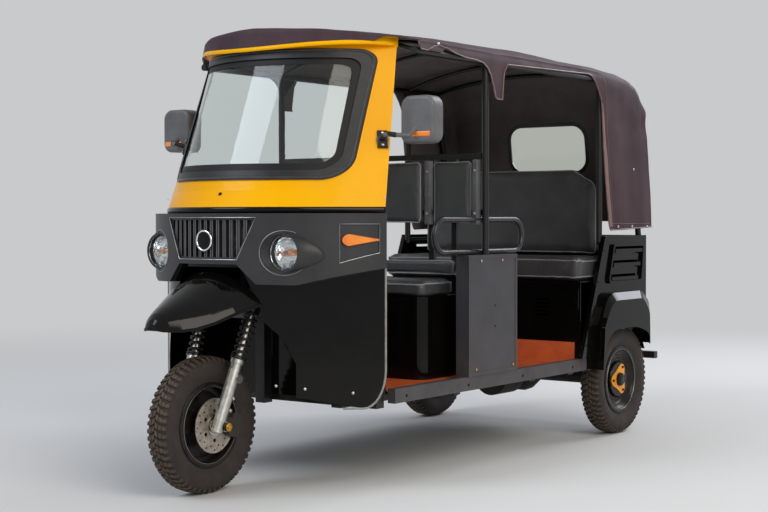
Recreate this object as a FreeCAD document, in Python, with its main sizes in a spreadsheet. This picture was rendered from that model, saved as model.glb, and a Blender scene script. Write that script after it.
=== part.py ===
import FreeCAD, Part

import math
import os
import re

import Sketcher
from FreeCAD import Placement, Rotation, Vector

# Auto rickshaw, in millimetres. +Z is up, the front faces -Y and the vehicle's own left is +X.
# The origin is on the ground, under the middle of the vehicle.

SIZES = {
    # running gear
    "wheelbase": 2410,
    "front_axle_y": -1270,
    "rear_track": 1110,
    "tyre_radius": 270,
    "tyre_width": 104,
    "carcass": 14,
    "bead_radius": 155,
    "rim_width": 80,
    "flange_radius": 168,
    "rim_sheet": 5,
    "hub_radius": 32,
    "front_hub_half": 57,
    "front_axle_radius": 10,
    "rear_hub_half": 46,
    "rear_shaft_radius": 17,
    "bearing_gap": 0.05,
    "disc_radius": 108,
    "disc_x": 59.3,
    "disc_sheet": 4,
    "disc_hole": 4,
    # steering
    "rake": 20.6,
    "fork_offset": 40,
    "leg_lead": 60,
    "leg_low_x": 100,
    "leg_top_x": 133,
    "leg_top": 470,
    "slider_radius": 24,
    "slider_top": 250,
    "boss_radius": 17,
    "rib_proud": 5,
    "tube_radius": 15,
    "sleeve_radius": 33,
    "sleeve_pitch": 25,
    "crown_sheet": 26,
    "stem_radius": 14,
    "head_radius": 24,
    "head_low": 560,
    "head_length": 200,
    "bar_up": 885,
    "bar_radius": 11,
    "grip_x": 345,
    "grip_back": 135,
    "pod_height": 28,
    # nose
    "nose_y": -1240,
    "nose_radius": 502,
    "nose_bottom": 335,
    "seam_z": 1125,
    "door_x": 589,
    "door_y": -858,
    "shell_wall": 4,
    "well_half": 340,
    "band_bulge": 20,
    "band_radius": 640,
    "band_wall": 5,
    "band_top": 1100,
    "band_side_z": 886,
    "band_low_z": 822,
    "band_mid_z": 901,
    "band_flat_half": 368,
    "recess_depth": 4,
    "recess_in": 494,
    "recess_out": 582,
    "recess_top": 1058,
    "recess_low": 907,
    "indicator_z": 996,
    "indicator_proud": 8,
    "grille_top_half": 230,
    "grille_low_half": 152,
    "grille_top_z": 1083,
    "grille_low_z": 919,
    "grille_bars": 15,
    "bar_width": 13,
    "lamp_x": 330,
    "lamp_z": 947,
    "lamp_y": -1152,
    "lens_radius": 68,
    "hood_radius": 87,
    "hood_rim": 7,
    "pod_tip_x": 462,
    "pod_tip_y": -1066,
    "beak_sheet": 4,
    "beak_reach": 308,
    "bead_proud": 5,
    "bead_height": 11,
    # windscreen surround
    "brow_z": 1190,
    "brow_y": -1195,
    "head_z": 1800,
    "head_y": -961,
    "head_door_x": 497,
    "head_door_y": -650,
    "screen_low_z": 1250,
    "screen_top_z": 1742,
    "screen_low_half": 452,
    "screen_top_half": 440,
    "seal_width": 38,
    "seal_proud": 5,
    "seal_depth": 12,
    "glass_sheet": 5,
    "visor_reach": 34,
    "visor_drop": 40,
    # floor and chassis
    "floor_top": 385,
    "floor_sheet": 4,
    "floor_front": -880,
    "sill_x": 596,
    "sill_width": 36,
    "sill_low": 347,
    "sill_top": 405,
    "sill_front": -804,
    "sill_ahead": 362,
    "rail_x": 360,
    "rail_width": 50,
    "rail_height": 60,
    "kick_up": 119,
    "kick_ahead": 380,
    "kick_run": 140,
    "frame_tail": 300,
    "mat_sheet": 6,
    # roof
    "roof_x": 575,
    "roof_z": 1757,
    "roof_tail": 85,
    "roof_tube": 15,
    "bow_tube": 10,
    "gusset": 110,
    "post_y": -104,
    "canopy_half": 597,
    "canopy_sheet": 6,
    "skirt_z": 1022,
    "canopy_edge_z": 1806,
    "canopy_crown_z": 1905,
    "valance_z": 1762,
    "flap_ahead": 218,
    "window_half": 226,
    "window_round": 70,
    "window_low": 1330,
    "window_top": 1570,
    # mirrors
    "mirror_low": 1376,
    "mirror_top": 1566,
    "mirror_in": 575,
    "mirror_out": 735,
    "mirror_y": -742,
    "mirror_depth": 70,
    "mirror_lip": 9,
    "mirror_stem": 9,
    # pillar boxes and loops
    "box_front": -272,
    "box_rear": 123,
    "box_depth": 66,
    "box_out": 600,
    "box_top": 922,
    "box_fold": 16,
    "box_fold_depth": 1.5,
    "box_hole": 5,
    "box_hole_y": -60,
    "box_hole_z": 655,
    "box_hole_spacing": 90,
    "loop_front": -456,
    "loop_rear": 248,
    "loop_low": 935,
    "loop_high": 1075,
    "loop_tube": 12.5,
    # driver's seat and partition
    "seat_half": 440,
    "seat_front": -400,
    "seat_rear": -112,
    "seat_box_top": 745,
    "seat_cushion_top": 812,
    "rest_low": 828,
    "rest_high": 902,
    "screen_frame_low": 1050,
    "screen_frame_high": 1350,
    "pad_thick": 36,
    "middle_pad_half": 278,
    "partition_strip": 26,
    # passenger bench
    "bench_ahead": 410,
    "bench_depth": 380,
    "bench_half": 460,
    "bench_apron_half": 588,
    "bench_board_z": 775,
    "bench_cushion_top": 890,
    "bench_back_half": 523,
    "bench_back_top": 1335,
    "hatch_half": 578,
    "hatch_low": 491,
    "hatch_high": 740,
    "hatch_gap": 2,
    "hinge_half": 150,
    "hinge_pin": 2,
    "hinge_out": 6,
    "hinge_lug": 16,
    "slot_in": 343,
    "slot_width": 73,
    "slot_low": 605,
    "slot_pitch": 19,
    "slot_height": 8,
    "knob_radius": 9,
    "latch_x": 564,
    "latch_z": 674,
    "sheet": 4,
    # rear body
    "panel_out": 600,
    "panel_top": 992,
    "panel_tail": 271,
    "fender_out": 660,
    "fender_top": 712,
    "fender_ahead": 292,
    "fender_behind": 205,
    "fender_shoulder": 26,
    "leg_low": 345,
    "lip_top": 534,
    "louvre_proud": 14,
    "louvre_top": 926,
    "louvre_pitch": 69,
    "panel_bead": 32,
    "house_radius": 305,
    "house_in": 471,
    "tail_behind": 274,
    "bumper_tail": 390,
    "bumper_z": 364,
    "spring_reach": 270,
    "spring_eye_z": 372,
    "leaf_thick": 10,
    "leaf_width": 50,
    "axle_tube_radius": 32,
    "drum_radius": 104,
    "drum_width": 14,
    "case_radius": 92,
    "case_half": 40,
    "case_foot": 130,
    "spring_seat": 42,
    "plate_spacing": 280,
    "plate_hole": 3.5,
    "plate_z": 640,
    # fits
    "seat_gap": 0.3,
}

doc = FreeCAD.newDocument("AutoRickshaw")
s = doc.addObject("Spreadsheet::Sheet", "Sizes")
for row, (alias, amount) in enumerate(SIZES.items(), start=1):
    s.set("A%d" % row, alias)
    s.set("B%d" % row, str(amount))
    s.setAlias("B%d" % row, alias)
doc.recompute()

# The rear body is placed from the rear axle, so that it follows a longer or shorter wheelbase.
axle_y = s.front_axle_y + s.wheelbase
bench_front = axle_y - s.bench_ahead
bench_rear = bench_front + s.bench_depth
flap_y = axle_y - s.flap_ahead
roof_rear = axle_y + s.roof_tail
kick_start = axle_y - s.kick_ahead
frame_rear = axle_y + s.frame_tail
sill_rear = axle_y - s.sill_ahead
panel_rear = axle_y + s.panel_tail
tail_y = axle_y + s.tail_behind
bumper_y = axle_y + s.bumper_tail

parts = []


def link(text):
    """Turn the plain names in an expression into references to the sheet's cells."""
    return re.sub(r"[a-z][a-z_]+", r"Sizes.\g<0>", text)


def keep(obj, label):
    """Give a finished sub-part its label and put it on the list that is written out."""
    obj.Label = label
    parts.append(obj)
    return obj


def solid(label, shape):
    obj = doc.addObject("Part::Feature", label)
    obj.Shape = shape
    return obj


def box(name, x, y, z):
    """A Part::Box between pairs of expressions along X, Y and Z."""
    obj = doc.addObject("Part::Box", name)
    for prop, (low, high) in zip(("Length", "Width", "Height"), (x, y, z)):
        obj.setExpression(prop, link("(%s) - (%s)" % (high, low)))
    for axis, (low, high) in zip("xyz", (x, y, z)):
        obj.setExpression("Placement.Base." + axis, link(low))
    return obj


def boolean(kind, name, *objects):
    """kind is Cut (two objects) or MultiFuse / MultiCommon (any number)."""
    obj = doc.addObject("Part::" + kind, name)
    if kind == "Cut":
        obj.Base, obj.Tool = objects
    else:
        obj.Shapes = list(objects)
    obj.Refine = True
    return obj


def body_sketch(name, plane, corners, lift=None):
    """A body with one closed sketch. Each corner is a pair of expressions in the plane's own axes."""
    body = doc.addObject("PartDesign::Body", name)
    origin = {item.Role: item for item in body.Origin.OriginFeatures}
    sketch = body.newObject("Sketcher::SketchObject", name + "_outline")
    sketch.AttachmentSupport = [(origin[plane], "")]
    sketch.MapMode = "FlatFace"
    if lift:
        sketch.setExpression("AttachmentOffset.Base.z", link(lift))
    count = len(corners)
    start = [Vector(math.cos(2 * math.pi * i / count), math.sin(2 * math.pi * i / count), 0) for i in range(count)]
    for i in range(count):
        sketch.addGeometry(Part.LineSegment(start[i], start[(i + 1) % count]), False)
    for i in range(count):
        sketch.addConstraint(Sketcher.Constraint("Coincident", i, 2, (i + 1) % count, 1))
    for i, (across, up) in enumerate(corners):
        for kind, text in (("DistanceX", across), ("DistanceY", up)):
            index = sketch.addConstraint(Sketcher.Constraint(kind, -1, 1, i, 1, 1.0))
            sketch.setExpression("Constraints[%d]" % index, link(text))
    return body, sketch


def turned(name, outline, at):
    """Revolve an outline of (x, radius) expressions about X, with the body's own origin at a point."""
    body, sketch = body_sketch(name, "XY_Plane", outline)
    step = body.newObject("PartDesign::Revolution", name + "_turn")
    step.Profile = sketch
    step.ReferenceAxis = (sketch, ["H_Axis"])
    step.Angle = 360
    for axis, text in zip("xyz", at):
        body.setExpression("Placement.Base." + axis, link(text))
    doc.recompute()
    return body


def rod(start, end, radius):
    return Part.makeCylinder(radius, (end - start).Length, start, end - start)


def route(points, bend):
    """A wire of straight runs joined by tangent arcs of one radius."""
    edges = []
    last = points[0]
    for before, corner, after in zip(points, points[1:], points[2:]):
        back = (before - corner).normalize()
        ahead = (after - corner).normalize()
        half = back.getAngle(ahead) / 2
        reach = bend / math.tan(half)
        middle = corner + (back + ahead).normalize() * (bend / math.sin(half) - bend)
        entry = corner + back * reach
        leave = corner + ahead * reach
        if (entry - last).Length > 1e-4:
            edges.append(Part.LineSegment(last, entry).toShape())
        edges.append(Part.Arc(entry, middle, leave).toShape())
        last = leave
    edges.append(Part.LineSegment(last, points[-1]).toShape())
    return Part.Wire(edges)


def tube(points, radius, bend):
    path = route(points, bend)
    ring = Part.Wire(Part.makeCircle(radius, points[0], points[1] - points[0]))
    return path.makePipeShell([ring], True, False)


def planted(corners, plane, low, high):
    """Points of a flat outline at one level of its plane, and the push that reaches the other level."""
    point, push = {
        "XZ": (lambda a, b: Vector(a, low, b), Vector(0, high - low, 0)),
        "YZ": (lambda a, b: Vector(low, a, b), Vector(high - low, 0, 0)),
        "XY": (lambda a, b: Vector(a, b, low), Vector(0, 0, high - low)),
    }[plane]
    return [point(a, b) for a, b in corners], push


def prism(corners, plane, low, high):
    """Extrude a closed polygon between two levels along the axis square to its plane."""
    ring, push = planted(corners, plane, low, high)
    return Part.Face(Part.makePolygon(ring + ring[:1])).extrude(push)


def curved(runs, plane, low, high):
    """A prism from runs of corners: two corners make a line, three make an arc through the middle one."""
    edges = []
    for run in runs:
        points, push = planted(run, plane, low, high)
        edges.append(Part.LineSegment(*points).toShape() if len(points) == 2 else Part.Arc(*points).toShape())
    return Part.Face(Part.Wire(edges)).extrude(push)


def rounded_ring(corners, radii, plane, level):
    """A closed outline whose corners are rounded, each by its own radius."""
    ring, _ = planted(corners, plane, level, level)
    edges = []
    ends = []
    for i, corner in enumerate(ring):
        back = (ring[i - 1] - corner).normalize()
        ahead = (ring[(i + 1) % len(ring)] - corner).normalize()
        half = back.getAngle(ahead) / 2
        reach = radii[i] / math.tan(half)
        middle = corner + (back + ahead).normalize() * (radii[i] / math.sin(half) - radii[i])
        ends.append((corner + back * reach, middle, corner + ahead * reach))
    for i, (entry, middle, leave) in enumerate(ends):
        if radii[i] > 0:
            edges.append(Part.Arc(entry, middle, leave).toShape())
        following = ends[(i + 1) % len(ends)][0]
        if (following - leave).Length > 1e-4:
            edges.append(Part.LineSegment(leave, following).toShape())
    return Part.Wire(edges)


def rounded(corners, radii, plane, low, high):
    """A prism with a rounded outline."""
    push = planted([], plane, low, high)[1]
    return Part.Face(rounded_ring(corners, radii, plane, low)).extrude(push)


def fused(shapes):
    first, *rest = shapes
    return first.fuse(rest).removeSplitter() if rest else first


def mirrored(shape):
    return shape.mirror(Vector(0, 0, 0), Vector(1, 0, 0))


def pair(shape):
    return Part.makeCompound([shape, mirrored(shape)])


def both_corners(right_half):
    """Close a half outline, listed from its first point round to its last, with its mirror image."""
    return right_half + [(-across, up) for across, up in reversed(right_half)]


# Nose: in plan an arc about the middle, with a straight run tangent to it on each side.

def nose_wire(level, front_y, radius, corner_x, corner_y, inset=0.0, overrun=0.0):
    centre = Vector(0, front_y + radius, level)
    corner = Vector(corner_x, corner_y, level)
    reach = corner - centre
    angle = math.atan2(reach.y, reach.x) - math.acos(min(1.0, radius / reach.Length))
    outward = Vector(math.cos(angle), math.sin(angle), 0)
    along = Vector(-outward.y, outward.x, 0)
    touch = centre + outward * (radius - inset)
    end = corner - outward * inset + along * overrun
    front = Vector(0, front_y + inset, level)
    flip = lambda p: Vector(-p.x, p.y, p.z)
    return Part.Wire([
        Part.LineSegment(end, touch).toShape(),
        Part.Arc(touch, front, flip(touch)).toShape(),
        Part.LineSegment(flip(touch), flip(end)).toShape(),
        Part.LineSegment(flip(end), end).toShape(),
    ])


def nose_prism(low, high, front_y, radius, corner_x, corner_y, inset=0.0, overrun=0.0):
    wire = nose_wire(low, front_y, radius, corner_x, corner_y, inset, overrun)
    return Part.Face(wire).extrude(Vector(0, 0, high - low))


def lower_nose(inset=0.0, overrun=0.0, low=None, high=None):
    low = s.nose_bottom if low is None else low
    high = s.seam_z if high is None else high
    return nose_prism(low, high, s.nose_y, s.nose_radius, s.door_x, s.door_y, inset, overrun)


def upper_rows():
    """Plan sections of the windscreen surround: level, front_y, corner_x, corner_y."""
    share = (s.brow_z - s.seam_z) / (s.head_z - s.seam_z)
    brow_x = s.door_x + (s.head_door_x - s.door_x) * share
    brow_door_y = s.door_y + (s.head_door_y - s.door_y) * share
    return (
        (s.seam_z, s.nose_y, s.door_x, s.door_y),
        (s.brow_z, s.brow_y, brow_x, brow_door_y),
        (s.head_z, s.head_y, s.head_door_x, s.head_door_y),
    )


def upper_nose(inset=0.0, overrun=0.0):
    wires = [
        nose_wire(level, front_y, s.nose_radius, corner_x, corner_y, inset, overrun)
        for level, front_y, corner_x, corner_y in upper_rows()
    ]
    return Part.makeLoft(wires, True, True)


def screen_prism(grow, low_radius, top_radius):
    """The windscreen's outline seen from the front, as a prism through the whole nose."""
    half = [
        (s.screen_low_half + grow, s.screen_low_z - grow),
        (s.screen_top_half + grow, s.screen_top_z + grow),
    ]
    corners = both_corners(half)
    radii = [low_radius, top_radius, top_radius, low_radius]
    return rounded(corners, radii, "XZ", s.nose_y - 100, s.door_y + 400)


def roof_arch(edge_z, crown_z, half, drop=0.0):
    """Centre height and radius of the arc over the roof, from its edge and crown heights."""
    rise = crown_z - edge_z
    radius = (half * half + rise * rise) / (2 * rise)
    return crown_z - radius, radius - drop


# Wheels

def wheel_outline_tyre():
    half = "(tyre_width / 2)"
    outer = [
        ("rim_width / 2 - rim_sheet", "bead_radius"),
        ("rim_width / 2 - rim_sheet", "flange_radius + 4"),
        (half + " - 3", "bead_radius + 40"),
        (half, "bead_radius + 68"),
        (half + " - 7", "tyre_radius - 17"),
        (half + " - 25", "tyre_radius - 3"),
        ("11", "tyre_radius"),
    ]
    inner = [
        ("16", "tyre_radius - carcass"),
        (half + " - carcass + 2", "tyre_radius - 2 * carcass - 6"),
        (half + " - carcass + 5", "bead_radius + 56"),
        ("rim_width / 2 - rim_sheet - carcass", "bead_radius + 16"),
        ("rim_width / 2 - rim_sheet - carcass", "bead_radius"),
    ]
    flip = lambda pairs: [("-(%s)" % x, r) for x, r in reversed(pairs)]
    return outer + flip(outer) + [("-(%s)" % x, r) for x, r in reversed(inner)] + inner


def wheel_outline_rim(side, hub_half, bore, capped):
    """Barrel, two flanges, pressed dish and hub in one outline. side is the outboard direction."""
    out = lambda x: "%d * (%s)" % (side, x)
    flange = "rim_width / 2"
    seat = "bead_radius - seat_gap"
    points = [
        (out(hub_half), "hub_radius"),
        (out("18"), "hub_radius + 4"),
        (out("8"), "hub_radius + 34"),
        (out("14"), "bead_radius - 22"),
        (out(flange + " - 6"), "bead_radius - rim_sheet"),
        (out(flange), "bead_radius - rim_sheet"),
        (out(flange), "flange_radius"),
        (out(flange + " - rim_sheet + seat_gap"), "flange_radius"),
        (out(flange + " - rim_sheet + seat_gap"), seat),
        (out("-(%s - rim_sheet + seat_gap)" % flange), seat),
        (out("-(%s - rim_sheet + seat_gap)" % flange), "flange_radius"),
        (out("-" + flange), "flange_radius"),
        (out("-" + flange), "bead_radius - rim_sheet"),
        (out("6"), "bead_radius - rim_sheet"),
        (out("14 - rim_sheet"), "bead_radius - 22"),
        (out("8 - rim_sheet"), "hub_radius + 34"),
        (out("18 - rim_sheet"), "hub_radius"),
        (out("-(%s)" % hub_half), "hub_radius"),
        (out("-(%s)" % hub_half), bore),
    ]
    if capped:
        return points + [(out(hub_half + " - 9"), bore), (out(hub_half + " - 9"), "0"), (out(hub_half), "0")]
    return points + [(out(hub_half), bore)]


def make_wheels():
    rear_y = "front_axle_y + wheelbase"
    front_at = ("0", "front_axle_y", "tyre_radius")
    keep(turned("front_tyre", wheel_outline_tyre(), front_at), "tyre_front")
    bore = "front_axle_radius + bearing_gap"
    keep(turned("front_rim", wheel_outline_rim(-1, "front_hub_half", bore, False), front_at), "rim_front")
    make_disc()
    bore = "rear_shaft_radius + bearing_gap"
    for name, side in (("left", 1), ("right", -1)):
        at = ("%d * rear_track / 2" % side, rear_y, "tyre_radius")
        keep(turned("rear_tyre_" + name, wheel_outline_tyre(), at), "tyre_rear_" + name)
        rim = wheel_outline_rim(side, "rear_hub_half", bore, True)
        keep(turned("rear_rim_" + name, rim, at), "rim_rear_" + name)


def make_disc():
    """Brake disc with two rings of drilled holes and a star of cut-outs round its centre."""
    centre = Vector(s.disc_x - s.disc_sheet / 2, s.front_axle_y, s.tyre_radius)
    across = Vector(1, 0, 0)
    disc = Part.makeCylinder(s.disc_radius, s.disc_sheet, centre, across)
    holes = [Part.makeCylinder(s.hub_radius - 12, s.disc_sheet, centre, across)]
    rings = (
        # radius of the ring, radius of its holes, how many, first angle
        (s.disc_radius - 12, s.disc_hole, 12, 0),
        (s.disc_radius - 26, s.disc_hole, 12, 15),
        (s.disc_radius - 50, 2 * s.disc_hole, 6, 30),
    )
    for ring, radius, count, first in rings:
        for i in range(count):
            turn = math.radians(first + 360 * i / count)
            spot = centre + Vector(0, ring * math.cos(turn), ring * math.sin(turn))
            holes.append(Part.makeCylinder(radius, s.disc_sheet, spot, across))
    keep(solid("disc_shape", disc.cut(holes)), "brake_disc")


# Steering: worked out in the fork's own frame, across (X), ahead of the steering axis and up along it.

def steer_place():
    lean = math.radians(s.rake)
    pivot_y = s.front_axle_y + s.fork_offset / math.cos(lean)
    return Placement(Vector(0, pivot_y, s.tyre_radius), Rotation(Vector(1, 0, 0), -s.rake))


def steer_point(across, back, up):
    return steer_place().multVec(Vector(across, back, up))


def leg_x(up):
    return s.leg_low_x + (s.leg_top_x - s.leg_low_x) * up / s.leg_top


def axle_up():
    return -s.fork_offset * math.tan(math.radians(s.rake))


def make_steering():
    place = steer_place()
    crown_low = s.leg_top - s.crown_sheet
    legs = []
    sleeves = []
    for side in (1, -1):
        at = lambda up: Vector(side * leg_x(up), -s.leg_lead, up)
        foot = axle_up() - s.slider_radius - 6
        slider = rod(at(foot), at(s.slider_top), s.slider_radius)
        inner = rod(at(s.slider_top - 5), at(s.leg_top + 18), s.tube_radius)
        collar = rod(at(s.slider_top - 16), at(s.slider_top), s.slider_radius + 4)
        boss_up = s.slider_top * 0.7
        boss = Part.makeCylinder(s.boss_radius, s.slider_radius + 7, at(boss_up) + Vector(0, 10, 0), Vector(side, 0, 0))
        rib = prism([
            (-s.leg_lead - s.slider_radius - s.rib_proud, foot + 20),
            (-s.leg_lead - s.slider_radius - s.rib_proud, s.slider_top - 40),
            (-s.leg_lead, s.slider_top - 20), (-s.leg_lead, foot + 6)], "YZ", -s.rib_proud, s.rib_proud)
        rib.rotate(Vector(0, -s.leg_lead, 0), Vector(0, 1, 0), math.degrees(math.atan2(leg_x(1) - leg_x(0), 1)))
        rib.translate(Vector(leg_x(0), 0, 0))
        rib = rib if side > 0 else mirrored(rib)
        lug = Part.makeCylinder(
            20, 2 * s.slider_radius - 6,
            Vector(side * leg_x(axle_up()) - s.slider_radius + 3, -s.fork_offset, axle_up()), Vector(1, 0, 0))
        bored = Part.makeCylinder(
            s.front_axle_radius + s.bearing_gap, 400, Vector(-200, -s.fork_offset, axle_up()), Vector(1, 0, 0))
        legs.append(fused([slider, inner, lug, collar, boss, rib]).cut(bored))
        rings = []
        up = s.slider_top + s.seat_gap
        while up + s.sleeve_pitch < crown_low:
            for low, high, r_low, r_high in ((0.0, 0.5, 0.72, 1.0), (0.5, 1.0, 1.0, 0.72)):
                base = at(up + low * s.sleeve_pitch)
                top = at(up + high * s.sleeve_pitch)
                rings.append(Part.makeCone(
                    s.sleeve_radius * r_low, s.sleeve_radius * r_high, (top - base).Length, base, top - base))
            up += s.sleeve_pitch
        clear = rod(at(s.slider_top - 20), at(s.leg_top), s.tube_radius + s.seat_gap)
        sleeves.append(fused(rings).cut(clear))
    crown_half = leg_x(s.leg_top) + 26
    lead = s.leg_lead + 27
    plate = rounded(
        both_corners([(crown_half, -lead), (crown_half, -s.leg_lead + 25), (36, 28)]),
        [18, 18, 18, 18, 18, 18], "XY", crown_low, s.leg_top)
    stem = rod(Vector(0, 0, crown_low), Vector(0, 0, s.bar_up + 20), s.stem_radius)
    fork = solid("fork_shape", fused(legs + [plate, stem]))
    fork.Placement = place
    keep(fork, "fork")
    sleeve = solid("sleeve_shape", Part.makeCompound(sleeves))
    sleeve.Placement = place
    keep(sleeve, "fork_sleeves")

    reach = leg_x(axle_up()) + s.slider_radius + 12
    axle = fused([
        rod(Vector(-reach, 0, 0), Vector(reach, 0, 0), s.front_axle_radius),
        Part.makeCylinder(17, 10, Vector(reach - 11, 0, 0), Vector(1, 0, 0)),
        Part.makeCylinder(17, 10, Vector(-reach + 1, 0, 0), Vector(1, 0, 0)),
    ])
    pin = solid("axle_shape", axle)
    pin.Placement = Placement(Vector(0, s.front_axle_y, s.tyre_radius), Rotation())
    keep(pin, "front_axle")
    make_caliper(place)
    make_handlebar(place)


def make_caliper(place):
    """Two-sided block that straddles the disc behind the left leg."""
    up = axle_up()
    block = Part.makeBox(
        s.disc_x + 28 - 49, 60, 90, Vector(49, -s.fork_offset + 62, up - 20))
    slot = Part.makeBox(
        s.disc_sheet + 10, 100, 120, Vector(s.disc_x - s.disc_sheet / 2 - 5, -s.fork_offset + 30, up - 40))
    slot = slot.cut(Part.makeBox(200, 100, 200, Vector(0, -s.fork_offset + s.disc_radius + 6, up - 60)))
    bracket = Part.makeBox(
        10, s.leg_lead - s.fork_offset + 62 + 10, 34,
        Vector(s.disc_x + 18, -s.leg_lead + s.slider_radius - 6, up + 14))
    shape = solid("caliper_shape", fused([block.cut(slot), bracket]))
    leg = rod(
        Vector(leg_x(-60), -s.leg_lead, -60), Vector(leg_x(s.slider_top), -s.leg_lead, s.slider_top),
        s.slider_radius + s.seat_gap)
    lug = Part.makeCylinder(20 + s.seat_gap, 200, Vector(0, -s.fork_offset, up), Vector(1, 0, 0))
    shape.Shape = shape.Shape.cut([leg, lug])
    shape.Placement = place
    keep(shape, "brake_caliper")


def make_handlebar(place):
    up = s.bar_up
    left = [
        Vector(0, 0, up), Vector(110, 0, up), Vector(200, 20, up + 12), Vector(s.grip_x, s.grip_back, up),
    ]
    half = tube(left, s.bar_radius, 60)
    grip_dir = (left[3] - left[2]).normalize()
    grip = rod(left[3] - grip_dir * 120, left[3] + grip_dir * 4, s.bar_radius + 6)
    clamp = Part.makeCylinder(30, 44, Vector(0, 0, up - 22))
    clamp = clamp.cut(Part.makeCylinder(s.stem_radius + s.seat_gap, 120, Vector(0, 0, up - 60)))
    pod = Part.makeBox(120, 70, s.pod_height, Vector(-60, -20, up + 22))
    pod = pod.makeFillet(10, pod.Edges)
    stalk = Part.makeBox(44, 12, 30, Vector(-22, 20, up - 2))
    inner = Part.makeCylinder(s.stem_radius + s.seat_gap, 160, Vector(0, 0, up - 80))
    bar = fused([half.cut(inner), mirrored(half).cut(inner), clamp, grip, mirrored(grip), stalk, pod])
    obj = solid("handlebar_shape", bar.cut(Part.makeCylinder(
        s.stem_radius + s.seat_gap, 100 + 20 + s.seat_gap, Vector(0, 0, up - 100))))
    obj.Placement = place
    keep(obj, "handlebar")


# Chassis and floor

def make_chassis():
    low = s.floor_top - s.floor_sheet - s.rail_height
    top = s.floor_top - s.floor_sheet
    start, run, rise = kick_start, s.kick_run, s.kick_up
    side = [
        (s.floor_front, low), (start, low), (start + run, low + rise), (frame_rear, low + rise),
        (frame_rear, top + rise), (start + run - 20, top + rise), (start - 20, top), (s.floor_front, top),
    ]
    rail = prism(side, "YZ", s.rail_x - s.rail_width / 2, s.rail_x + s.rail_width / 2)
    bars = [rail, mirrored(rail)]
    inner = s.sill_x - s.sill_width
    for y in (s.floor_front, s.seat_front + 70, s.box_rear + 177, bench_front - 70):
        bars.append(Part.makeBox(2 * inner, 50, s.rail_height - 10, Vector(-inner, y, low + 10)))
    for y in (axle_y - 130, frame_rear - 40):
        bars.append(Part.makeBox(2 * s.rail_x, 40, s.rail_height, Vector(-s.rail_x, y, low + rise)))
    place = steer_place()
    head = Part.makeCylinder(s.head_radius, s.head_length, Vector(0, 0, s.head_low))
    head.Placement = place
    low_head = steer_point(0, 0, s.head_low + 20)
    top_head = steer_point(0, 0, s.head_low + s.head_length - 20)
    neck = prism([
        (s.floor_front - 50, low), (s.floor_front, low), (s.floor_front, low_head.z),
        (top_head.y + 30, top_head.z), (top_head.y, top_head.z), (low_head.y, low_head.z),
        (s.floor_front - 50, low_head.z - 130),
    ], "YZ", -24, 24)
    bore = Part.makeCylinder(s.stem_radius + 0.1, 900, Vector(0, 0, s.head_low - 300))
    bore.Placement = place
    # spring hangers, bumper brackets
    for y in (axle_y - s.spring_reach + 8, axle_y + s.spring_reach - 8):
        eye = s.spring_eye_z + s.leaf_thick + s.seat_gap
        ear = prism([(y - 18, eye), (y + 18, eye), (y + 18, low + rise + 5), (y - 18, low + rise + 5)], "YZ",
                    s.rail_x - 20, s.rail_x + 20)
        bars += [ear, mirrored(ear)]
    arm = prism([
        (frame_rear - 60, low + rise), (frame_rear, low + rise), (bumper_y - 20, s.bumper_z + 25),
        (bumper_y - 20, s.bumper_z - 20), (bumper_y - 60, s.bumper_z - 20),
    ], "YZ", s.rail_x - 8, s.rail_x + 8)
    bars += [arm, mirrored(arm)]
    frame = fused(bars + [head, neck]).cut(bore)
    keep(solid("frame_shape", frame), "chassis_frame")


def make_floor():
    inner = "(sill_x - sill_width)"
    pan = box("floor_plate", ("-" + inner, inner), ("floor_front", "front_axle_y + wheelbase - bench_ahead"),
              ("floor_top - floor_sheet", "floor_top"))
    keep(pan, "floor_pan")
    half = s.sill_x - s.sill_width - 4
    mat = Part.makeBox(2 * half, bench_front - s.floor_front - 90, s.mat_sheet,
                       Vector(-half, s.floor_front + 84, s.floor_top))
    curl = Part.makeBox(2 * half, s.mat_sheet, 98, Vector(-half, bench_front - s.mat_sheet, s.floor_top))
    tread = prism([
        (bench_front - 6, s.floor_top), (bench_front - 6, s.floor_top + 98),
        (bench_front - 12, s.floor_top + 98), (bench_front - 20, s.floor_top + s.mat_sheet),
        (bench_front - 20, s.floor_top),
    ], "YZ", -half, half)
    keep(solid("mat_shape", fused([mat, curl, tread])), "floor_mat")
    sills = []
    for side in ("", "-"):
        low, high = ("sill_x - sill_width", "sill_x") if not side else ("-sill_x", "sill_width - sill_x")
        sills.append(box("sill_" + ("left" if not side else "right"), (low, high), ("sill_front", "front_axle_y + wheelbase - sill_ahead"),
                         ("sill_low", "sill_top")))
    both = doc.addObject("Part::Compound", "both_sills")
    both.Links = sills
    keep(both, "sills")


# Nose shell, lamp panel, grille, lamps, mudguard

def wheel_opening(low):
    """The wheel opening seen from the front, up to the underside of the lamp panel."""
    half = [
        (s.well_half, low), (s.well_half, 514), (s.well_half - 35, 609), (235, 681), (218, 760),
        (s.grille_low_half, s.band_mid_z - 12),
    ]
    return prism(both_corners(half), "XZ", s.nose_y - 100, s.door_y - 40)


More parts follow.
